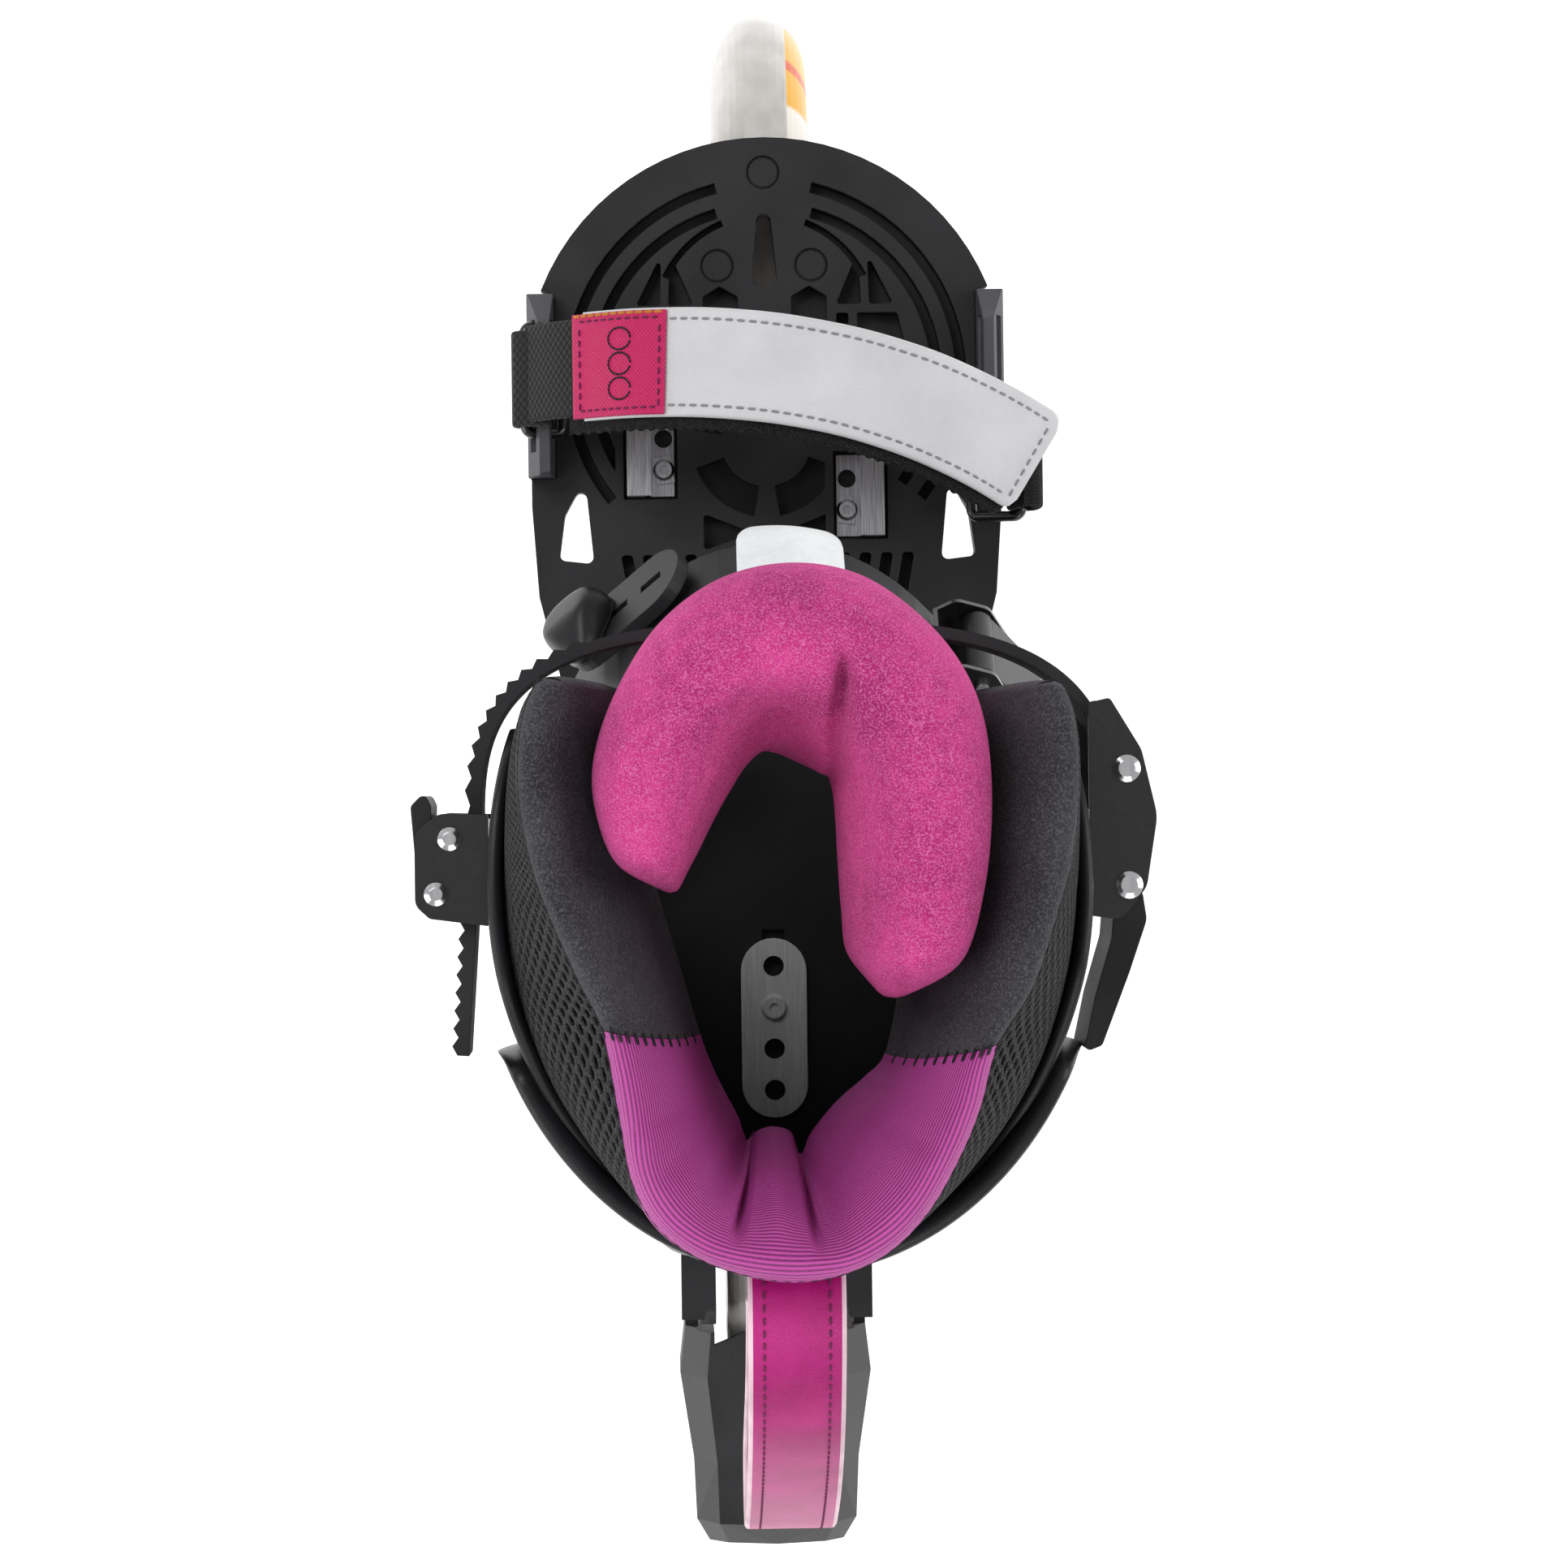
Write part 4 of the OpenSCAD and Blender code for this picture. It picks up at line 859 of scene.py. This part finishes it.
left_pad = pad_grid("left_collar_pad", -0.975, -0.377, 90, black_velour, 9, 0, side_shape)
right_pad = pad_grid("right_collar_pad", 0.377, 0.975, 90, black_velour, 0, 9, side_shape)
heel_pad = pad_grid("heel_pad", -0.376, 0.376, 200, pink_lycra, 0, 0, heel_shape)
for piece, slot_name in ((left_pad, "velour"), (right_pad, "velour"), (heel_pad, "pink_lycra")):
    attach(piece, "cuff")
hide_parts("collar_pads")
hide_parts("collar_pads")
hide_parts("achilles_pad")


def overlock(s, side):
    """Short stitches across the seam at s, over the top of the pad."""
    section = ring(PAD_SECTION, 64)
    keep = [k for k in range(64) if section[k, 1] > 262 and k < 34]
    rows = []
    a = collar(np.array([s]), section)[0]
    b = collar(np.array([s + side * 0.012]), section)[0]
    line = np.array([a[k] for k in keep])
    toward = unit(np.array([b[k] - a[k] for k in keep]))
    run = np.concatenate([[0], np.cumsum(norm(np.diff(line[:, :2], axis=0))[:, 0])])
    for at in np.arange(0.8, run[-1], 1.75):
        p = np.array([np.interp(at, run, line[:, k]) for k in range(3)])
        t = unit(np.array([np.interp(at, run, toward[:, k]) for k in range(3)]))
        up = np.array([0, 0, 1.0])
        rows.append((np.array([p - t * 1.0 + up * 0.2, p + t * 2.4 + up * 0.5]), np.array([up, up])))
    return rows


pad_seams = stitches("pad_seams", overlock(-0.377, 1) + overlock(0.377, -1), black_thread,
                     length=2.9, gap=1, radius=0.3)
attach(pad_seams, "cuff")
print("Pads:", len(left_pad.data.vertices), len(heel_pad.data.vertices), "points")


# %% [markdown]
# ## Tongue
# The tongue ends in a thick rolled horseshoe. Two curves give its outer and inner
# edge, and a closed section sweeps round between them. A crease marks where its right leg
# leaves the front. Below the roll a thinner tongue runs down in front of the shin.

# %% Tongue
TONGUE_OUT = [(-27, -43), (-36, -36), (-40, -24), (-39.5, -13), (-34.5, 0), (-26, 12.5),
              (-14, 21), (0, 24), (14, 21.5), (26, 13.3), (34.5, 3), (39, -9), (40.2, -25),
              (38.6, -42), (34, -57), (24, -65.5)]
TONGUE_IN = [(-22, -42), (-19, -34), (-15.5, -27), (-12, -21), (-9, -16.5), (-5.5, -13.5),
             (-2.5, -13.6), (0.5, -14.8), (3.6, -16.4), (6.4, -18), (8.8, -20), (9.6, -27.5), (10, -37),
             (10.6, -47), (11.6, -56), (16, -64.5)]
TONGUE_SECTION = [(0.03, 304), (-0.02, 318), (-0.02, 332), (0.1, 341), (0.32, 345.5),
                  (0.56, 344.5), (0.78, 336), (0.94, 320), (1.0, 302), (0.94, 286), (0.72, 276),
                  (0.4, 278), (0.14, 290)]


def tongue_roll():
    u = np.linspace(0, 1, 170)
    steps = np.linspace(0, 1, len(TONGUE_OUT))
    outer, inner = smooth(steps, TONGUE_OUT, u), smooth(steps, TONGUE_IN, u)
    section = ring(TONGUE_SECTION, 64)
    share, z = section[None, :, :1], section[None, :, 1]
    xy = outer[:, None] + (inner - outer)[:, None] * share
    d = np.minimum(u, 1 - u) * 190
    end = np.sqrt(np.clip(1 - (1 - np.minimum(d / 15, 1)) ** 2, 0.001, 1))[:, None]
    front = bell(u - 0.44, 0.16)[:, None]
    heights = 312 + (z - 312) * (0.35 + 0.65 * end) - 3 * (1 - end)
    # The front is wider, so its inner side slopes down further than the legs do.
    heights = heights - 16 * front * ease((share[..., 0] - 0.55) / 0.45) * (z > 300)
    heights = heights - 26 * front * (z <= 300)
    P = stack(xy[..., 0], xy[..., 1], heights)
    middle = P.mean(axis=1, keepdims=True)
    return middle + (P - middle) * (0.3 + 0.7 * end)[..., None]


def along_crease(P, a, b, width, depth):
    """Presses a valley of the given width and depth into the top, along the line a to b."""
    a, b = np.array(a, float), np.array(b, float)
    line = b - a
    t = np.clip(((P[..., :2] - a) @ line) / (line @ line), 0, 1)
    away = norm(P[..., :2] - (a + t[..., None] * line))[..., 0]
    fade = ease(t / 0.35) * np.where(P[..., 2] > 296, 1, 0)
    P[..., 2] -= depth * bell(away, width) * fade
    return P


roll = tongue_roll()
roll = along_crease(roll, (10.8, 9.2), (9, -19.5), 1.7, 8)
roll = along_crease(roll, (-33, -16), (-24, -30), 7, 1.2)
tongue_pad = grid("tongue_pad", roll, pink_velour, wrap=True, caps=True)


def tongue_lower_face(a, b, inset):
    def face(u, v):
        w = np.radians(-100 + 200 * u)
        f = v**3
        top = smooth(np.linspace(0, 1, len(TONGUE_OUT)), TONGUE_OUT, 0.1 + 0.8 * u)
        deep = smooth(np.linspace(0, 1, len(TONGUE_IN)), TONGUE_IN, 0.1 + 0.8 * u)
        mid = top + (deep - top) * inset
        x = a * np.sin(w) * (1 - f) + mid[..., 0] * f
        y = (-22 + b * np.cos(w)) * (1 - f) + mid[..., 1] * f
        return stack(x, y, 243 + 62 * v + 0 * u)

    return face


tongue_lower = wall("tongue_lower", tongue_lower_face(31.5, 30.5, 0.2), tongue_lower_face(24, 22, 0.6),
                    60, 14, pink_velour)
for piece in (tongue_pad, tongue_lower):
    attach(piece, "cuff")
    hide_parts("tongue")
print("Tongue:", len(tongue_pad.data.vertices), "points")


# %% [markdown]
# ## Lining of the boot
# Thin black knit lines the heel cup and the ankle.

# %% Boot lining
def lining_face(off):
    def face(u, v):
        s = (2 * u - 1) * 0.86
        z = 107.5 + 136 * v + 0 * s
        f = (z - 104) / 100
        x, y = u_path(s, 43 + 3 * np.minimum(1, f * 3) - off, 45 + 1.5 * f - off, -85, 58, 0)
        top = smooth(INNER_S, INNER_P, s)
        g = ease((v - 0.45) / 0.5)
        gap = np.where(np.abs(s) < 0.2, 8.0, 4.0)
        away = unit(top - np.array([0, -62.0]))
        tx, ty = top[..., 0] + away[..., 0] * (gap - off), top[..., 1] + away[..., 1] * (gap - off)
        pucker = 0.5 * np.sin(s * 60) * np.sin(np.pi * np.clip((v - 0.4) / 0.5, 0, 1))
        return stack(x * (1 - g) + tx * g + pucker, y * (1 - g) + ty * g, z)

    return face


boot_lining = wall("boot_lining", lining_face(0.2), lining_face(3.4), 110, 40, inner_knit)
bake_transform(boot_lining)
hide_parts("heel_liner")


# %% [markdown]
# ## Pull loop
# A strap of smooth coated leather, folded over and stitched near both edges, hangs in a loop
# from the back of the collar. Its cut edges are pale. A ribbed black tape lines its inside.

# %% Pull loop
LOOP = [(-119.8, 309), (-128, 314), (-142, 309), (-158, 293), (-171, 268), (-181, 240),
        (-187, 216), (-186, 204), (-179, 200), (-171, 206), (-163, 225), (-153, 252), (-141, 273),
        (-130, 284.5)]


def loop_line(u):
    """Points and outward normals of the loop's middle line, in Y and Z."""
    steps = np.linspace(0, 1, len(LOOP))
    p = smooth(steps, LOOP, u)
    t = unit(smooth(steps, LOOP, np.clip(u + 0.004, 0, 1)) - smooth(steps, LOOP,
                                                                   np.clip(u - 0.004, 0, 1)))
    return p, stack(-t[..., 1], t[..., 0])


def strap_of(line, half_width, off, skew=0.0, lean=0.0):
    """Face of a strap that follows line in Y and Z, off outwards from its middle."""
    def face(u, v):
        p, n = line(u + 0 * v)
        x = half_width * (1 - 2 * v) + skew * np.sin(np.pi * u) + 0 * u
        twist = lean * (1 - 2 * v) * np.sin(np.pi * np.clip(u * 1.6, 0, 1))
        return stack(x, p[..., 0] + n[..., 0] * off, p[..., 1] + n[..., 1] * off + twist)

    return face


pull_strap = wall("pull_strap", strap_of(loop_line, 9.3, 1.0), strap_of(loop_line, 9.3, -1.0), 120, 6,
                  loop_leather, lip=4, edge_material=cut_edge)
pull_tape = wall("pull_tape", strap_of(loop_line, 7.6, 1.3), strap_of(loop_line, 7.6, 2.2), 120, 4,
                 black_webbing, lip=3)
loop_rows = []
for edge in (-6.9, 6.9):
    u = np.linspace(0.02, 0.98, 200)
    p, n = loop_line(u)
    for side in (-1.02, 1.02):
        points = stack(np.full_like(u, edge), p[:, 0] + n[:, 0] * side, p[:, 1] + n[:, 1] * side)
        loop_rows.append((points, stack(0 * u, n[:, 0], n[:, 1]) * np.sign(side)))
pull_stitches = stitches("pull_stitches", loop_rows, plum_thread, length=1.9, gap=0.9, radius=0.26)
for piece in (pull_strap, pull_tape, pull_stitches):
    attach(piece, "cuff")
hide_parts("pull_loop")


# %% [markdown]
# ## Toe strap
# Light grey coated leather with a row of stitching round it, over a wider hook-and-loop tape
# whose fuzzy edge shows. Black webbing runs through a wire ring at each end, and a woven patch
# with three plain rings closes the left end.

# %% Toe strap
STRAP_LENGTH = 137.0
BACK_SHIFT = 2.0


def strap_mid(u, lift):
    q = np.abs(2 * u - 1)
    z = np.where(u < 0.5, 160 - 36 * q**2.6, 160 - 22 * q**2.2)
    x = -56 + 120 * u
    y = 79.5 - 24.5 * (np.maximum(0, u - 0.12) / 0.88) ** 2.6
    return stack(x, y, z + lift + 6 * u * (1 - u))


def strap_sheet(u0, u1, lift, width, shift=0.0, corner=0.0, frill=0.0):
    """Face of a strap between u0 and u1, with rounded corners at u1."""
    def face(u, v):
        at = u0 + (u1 - u0) * u
        m, n = strap_mid(at, lift), strap_mid(at + 0.01, lift)
        t = unit((n - m)[..., :2])
        left = (u1 - at) * STRAP_LENGTH
        cut = corner - np.sqrt(np.maximum(0, corner**2 - np.maximum(0, corner - left) ** 2))
        half = width / 2 - cut
        d = (2 * v - 1) * half + shift + frill * np.sin(at * 300) * (2 * v - 1)
        wave = 0.35 * np.sin(at * 19) * (2 * v - 1) + 0.25 * np.sin(at * 43)
        return stack(m[..., 0] - t[..., 1] * d, m[..., 1] + t[..., 0] * d, m[..., 2] + wave)

    return face


toe_leather = wall("toe_leather", strap_sheet(0.1, 1, 2.4, 23.6, corner=3.4),
                   strap_sheet(0.1, 1, 0.1, 23.6, corner=3.4), 130, 10, strap_leather, lip=5)
toe_backing = wall("toe_backing", strap_sheet(0.07, 0.985, -0.2, 25.2, -BACK_SHIFT, 3.0, 0.25),
                   strap_sheet(0.07, 0.985, -2.6, 25.2, -BACK_SHIFT, 3.0, 0.25), 300, 6, hook_tape)
toe_tape = wall("toe_tape", strap_sheet(-0.015, 0.14, 0.0, 21.6), strap_sheet(-0.015, 0.14, -1.8, 21.6),
                30, 8, black_webbing)


def row_at(u, d, lift):
    """Points across or along the strap: d is the distance from its middle, towards the toe."""
    m, n = strap_mid(u, lift), strap_mid(u + 0.01, lift)
    t = unit((n - m)[..., :2])
    wave = 0.35 * np.sin(u * 19) * (d / 12.15) + 0.25 * np.sin(u * 43)
    return stack(m[..., 0] - t[..., 1] * d, m[..., 1] + t[..., 0] * d, m[..., 2] + wave)


def straight_up(points):
    return np.tile([0, 0, 1.0], (len(points), 1))


def rows(lines):
    return [(line, straight_up(line)) for line in lines]


u = np.linspace(0.268, 0.984, 160)
end = np.linspace(-10, 10, 24)
toe_stitches = stitches("toe_stitches", rows([
    row_at(u, 10.2 + 0 * u, 2.45), row_at(u, -10.2 + 0 * u, 2.45), row_at(0.984 + 0 * end, end, 2.45),
]), grey_thread, length=1.9, gap=0.9, radius=0.3)


def hoop(side, centre_y, path):
    """Turn of webbing, 21.6 wide, along a path of (x, z) points."""
    path = np.asarray(path, float)
    steps = np.linspace(0, 1, len(path))

    def line(u):
        p = smooth(steps, path, u)
        t = unit(smooth(steps, path, np.clip(u + 0.01, 0, 1))
                 - smooth(steps, path, np.clip(u - 0.01, 0, 1)))
        return p, stack(-t[..., 1], t[..., 0])

    def face(off):
        def at(u, v):
            p, n = line(u + 0 * v)
            y = centre_y + (0.5 - v) * 21.6 + 0 * u
            return stack(side * (p[..., 0] + n[..., 0] * off), y, p[..., 1] + n[..., 1] * off)

        return at

    return face


left_path = [(52.5, 122.8), (56, 121.3), (59.2, 118.6), (60.8, 116.4), (60.6, 113.4), (58.6, 112.3),
             (56, 113.4), (55.3, 116.8), (54.4, 119.8)]
right_path = [(60.4, 136.4), (64, 133.8), (65.1, 128), (65.2, 120), (64.6, 114), (61.7, 112),
              (59.2, 113.8), (58.9, 119), (60.4, 125), (60.8, 131)]
left_hoop = hoop(-1, 78.5, left_path)
right_hoop = hoop(1, 57, right_path)
toe_loop_left = wall("toe_loop_left", left_hoop(0.9), left_hoop(-0.9), 60, 8, black_webbing)
toe_loop_right = wall("toe_loop_right", right_hoop(0.9), right_hoop(-0.9), 60, 8, hook_tape)

toe_badge = wall("toe_badge", strap_sheet(0.078, 0.262, 3.1, 24.2), strap_sheet(0.078, 0.262, 2.5, 24.2),
                 40, 10, patch_weave)
u = np.linspace(0.092, 0.249, 40)
side_u = np.linspace(-10.4, 10.4, 24)
badge_stitches = stitches("badge_stitches", rows([
    row_at(u, 10.6 + 0 * u, 3.15), row_at(u, -10.6 + 0 * u, 3.15),
    row_at(0.092 + 0 * side_u, side_u, 3.15), row_at(0.249 + 0 * side_u, side_u, 3.15),
]), plum_thread, length=1.7, gap=0.8, radius=0.26)
badge_hem = stitches("badge_hem", rows([row_at(np.linspace(0.081, 0.26, 40), np.full(40, 11.9), 2.9)]),
                     orange_thread, length=2.4, gap=0.1, radius=0.4)
turn_by = np.linspace(0, 2 * math.pi, 40)
emblem_rows = []
for k in (-1, 0, 1):
    flat_u = 0.171 + 0.024 * np.cos(turn_by) * 0.9
    emblem_rows.append(row_at(flat_u, 5.9 * k + 2.6 * np.sin(turn_by), 3.12))
badge_emblem = stitches("badge_emblem", rows(emblem_rows), black_thread, length=0.9, gap=0.02,
                        radius=0.26)
for piece, slot_name in ((toe_leather, "toe_leather"), (toe_stitches, "toe_leather"),
                         (toe_backing, "webbing"), (toe_tape, "webbing"), (toe_loop_left, "webbing"),
                         (toe_loop_right, "webbing"), (toe_badge, "patch"), (badge_stitches, "patch"),
                         (badge_hem, "patch"), (badge_emblem, "patch")):
    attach(piece, "chassis")
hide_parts("toe_strap")
for piece in (toe_backing, toe_tape, toe_loop_left, toe_loop_right):
    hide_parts("toe_webbing")
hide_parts("toe_patch")
print("Toe strap pieces: 10")


# %% [markdown]
# ## Instep padding, shield and knob
# A quilted pad lies under the instep strap, and a white plastic shield is clipped over its
# middle. The knob that tightens the strap is a rounded body with a beak to push with the thumb.

# %% Instep padding, shield and knob
LEAN = math.atan(0.75)


def band_point(w, h, off):
    """Point on the leaning instep band: w in degrees from its front, h along its axis."""
    w = np.radians(w)
    x, q = (57 + off) * np.sin(w), 48 + (89 + off) * np.cos(w)
    return stack(x, q * math.cos(LEAN) - h * math.sin(LEAN), q * math.sin(LEAN) + h * math.cos(LEAN))


def padding_face(off, puff):
    def face(u, v):
        quilt = puff * np.abs(np.sin(u * 9 * math.pi)) ** 0.6 * np.sin(np.pi * v) ** 0.4
        return band_point(-61 + 122 * u, 125.5 + 27 * v, off - quilt)

    return face


instep_padding = wall("instep_padding", padding_face(-2.9, 0), padding_face(-6.2, 2.4), 120, 14,
                      inner_knit)
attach(instep_padding, "chassis")
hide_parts("instep_pad")

SHIELD_W = (-8.5, 15.5)
SHIELD_H = (120.5, 157.5)
SHIELD_CORNER = 4.5
DEGREE_MM = 1.15


def shield_face(off, low, high, corner):
    """Part of the shield between two heights, with its corners cut back by a quarter circle."""
    def face(u, v):
        w = SHIELD_W[0] + (SHIELD_W[1] - SHIELD_W[0]) * u
        edge = np.minimum(w - SHIELD_W[0], SHIELD_W[1] - w) * DEGREE_MM
        cut = corner - np.sqrt(np.maximum(0, corner**2 - np.maximum(0, corner - edge) ** 2))
        return band_point(w, low + cut + (high - low - 2 * cut) * v, off + 0.5 * np.sin(np.pi * v))

    return face


shield_plate = wall("shield_plate", shield_face(2.6, *SHIELD_H, SHIELD_CORNER),
                    shield_face(0.3, *SHIELD_H, SHIELD_CORNER), 60, 16, shield_nylon, lip=6)
shield_hook = wall("shield_hook", shield_face(1.2, SHIELD_H[1] - 2.6, SHIELD_H[1] - 0.2, 0.6),
                   shield_face(-2.4, SHIELD_H[1] - 2.6, SHIELD_H[1] - 0.2, 0.6), 40, 4, shield_nylon)
for piece in (shield_plate, shield_hook):
    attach(piece, "chassis")
    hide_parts("instep_shield")

KNOB_W = math.radians(-33)
g = np.array([math.sin(KNOB_W) / 57, math.cos(KNOB_W) / 89])
g = g / np.linalg.norm(g)


def on_band(p):
    """Local millimetres on the band's outside, at the knob's plate, to the CAD frame."""
    x = 57 * math.sin(KNOB_W) - g[1] * p[..., 0] + g[0] * p[..., 2]
    q = 48 + 89 * math.cos(KNOB_W) + g[0] * p[..., 0] + g[1] * p[..., 2]
    h = 131 + p[..., 1]
    return stack(x, q * math.cos(LEAN) - h * math.sin(LEAN), q * math.sin(LEAN) + h * math.cos(LEAN))


def knob_points():
    outline = ring([(-8, -1.5), (-7, -6.4), (-2, -8.6), (4.6, -8.4), (8.6, -5.6), (9.6, -0.6), (7.4, 4.4),
                    (4.4, 9.4), (1.4, 11.8), (-1.8, 10.6), (-5.2, 5)], 72)
    levels = [(0.0, 4.9), (0.93, 4.9), (1.0, 5.6), (1.01, 7.6), (0.97, 9.8), (0.88, 11.6), (0.8, 12.4),
              (0.66, 12.9), (0.4, 13.1), (0.0, 13.2)]
    levels = np.array(levels)
    steps = np.linspace(0, 1, len(levels))
    fine = smooth(steps, levels, np.linspace(0, 1, 40))
    centre = np.array([0.8, 0.4])
    P = stack(12 + centre[0] + (outline[None, :, 0] - centre[0]) * fine[:, :1],
              centre[1] + (outline[None, :, 1] - centre[1]) * fine[:, :1], fine[:, 1:])
    # The top leans down towards the beak.
    beak = ease((P[..., 1] - 1) / 11) * ease((P[..., 2] - 6) / 6)
    P[..., 2] -= 4.5 * beak
    return on_band(P)


knob_grip = grid("knob_grip", knob_points(), lever_acetal, wrap=True)
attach(knob_grip, "instep_knob")
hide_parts("instep_knob")


# %% Give each CAD node its finish
def floor_paint(tree, shader):
    place = coordinates(tree, "Object")
    dust = add(tree, "TexNoise", Vector=place, Scale=3.0)
    link(tree, shader, "Base Color", ramp(tree, dust.outputs["Fac"], [(0, "#f7f7f7"),
                                                                     (1, "#ffffff")]))
    put(shader, Roughness=0.9, Emission_Color=(1, 1, 1, 1), Emission_Strength=0.5)


floor.data.materials.append(finish("pale_floor", floor_paint))

cad_finish = {
    glass_nylon: ["chassis", "footplate", "brake_carrier", "heel_base", "heel_cup", "hinge_ears",
                  "instep_anchor", "plate_plugs", "pivot_pins"],
    wing_nylon: ["left_wing", "right_wing"],
    zinc_plate: ["left_wing_bracket", "right_wing_bracket", "bracket_screws", "axles",
                 "axle_nuts", "bearing_sleeves", "front_bearings", "middle_bearings",
                 "rear_bearings", "instep_pins", "brake_screw"],
    painted_light_strip: ["size_strip", "size_screw"],
    polished_rivet: ["ratchet_pins", "cam_pins", "ratchet_pawl"],
    black_electrocoat: ["strap_rings", "ratchet_frame", "cam_frame", "instep_buckle",
                        "instep_bolts"],
    lever_acetal: ["ratchet_lever", "cam_lever", "instep_lever"],
    strap_urethane: ["instep_strap", "cuff_strap"],
    hub_nylon: ["front_hub", "middle_hub", "rear_hub"],
    brake_rubber: ["brake_pad"],
}
for material, names in cad_finish.items():
    for name in names:
        for slot in nodes[name].material_slots:
            slot.material = material
for name, material in tyres.items():
    for slot in nodes[name].material_slots:
        slot.material = material
print("Finished CAD nodes:", sum(len(names) for names in cad_finish.values()) + len(tyres))
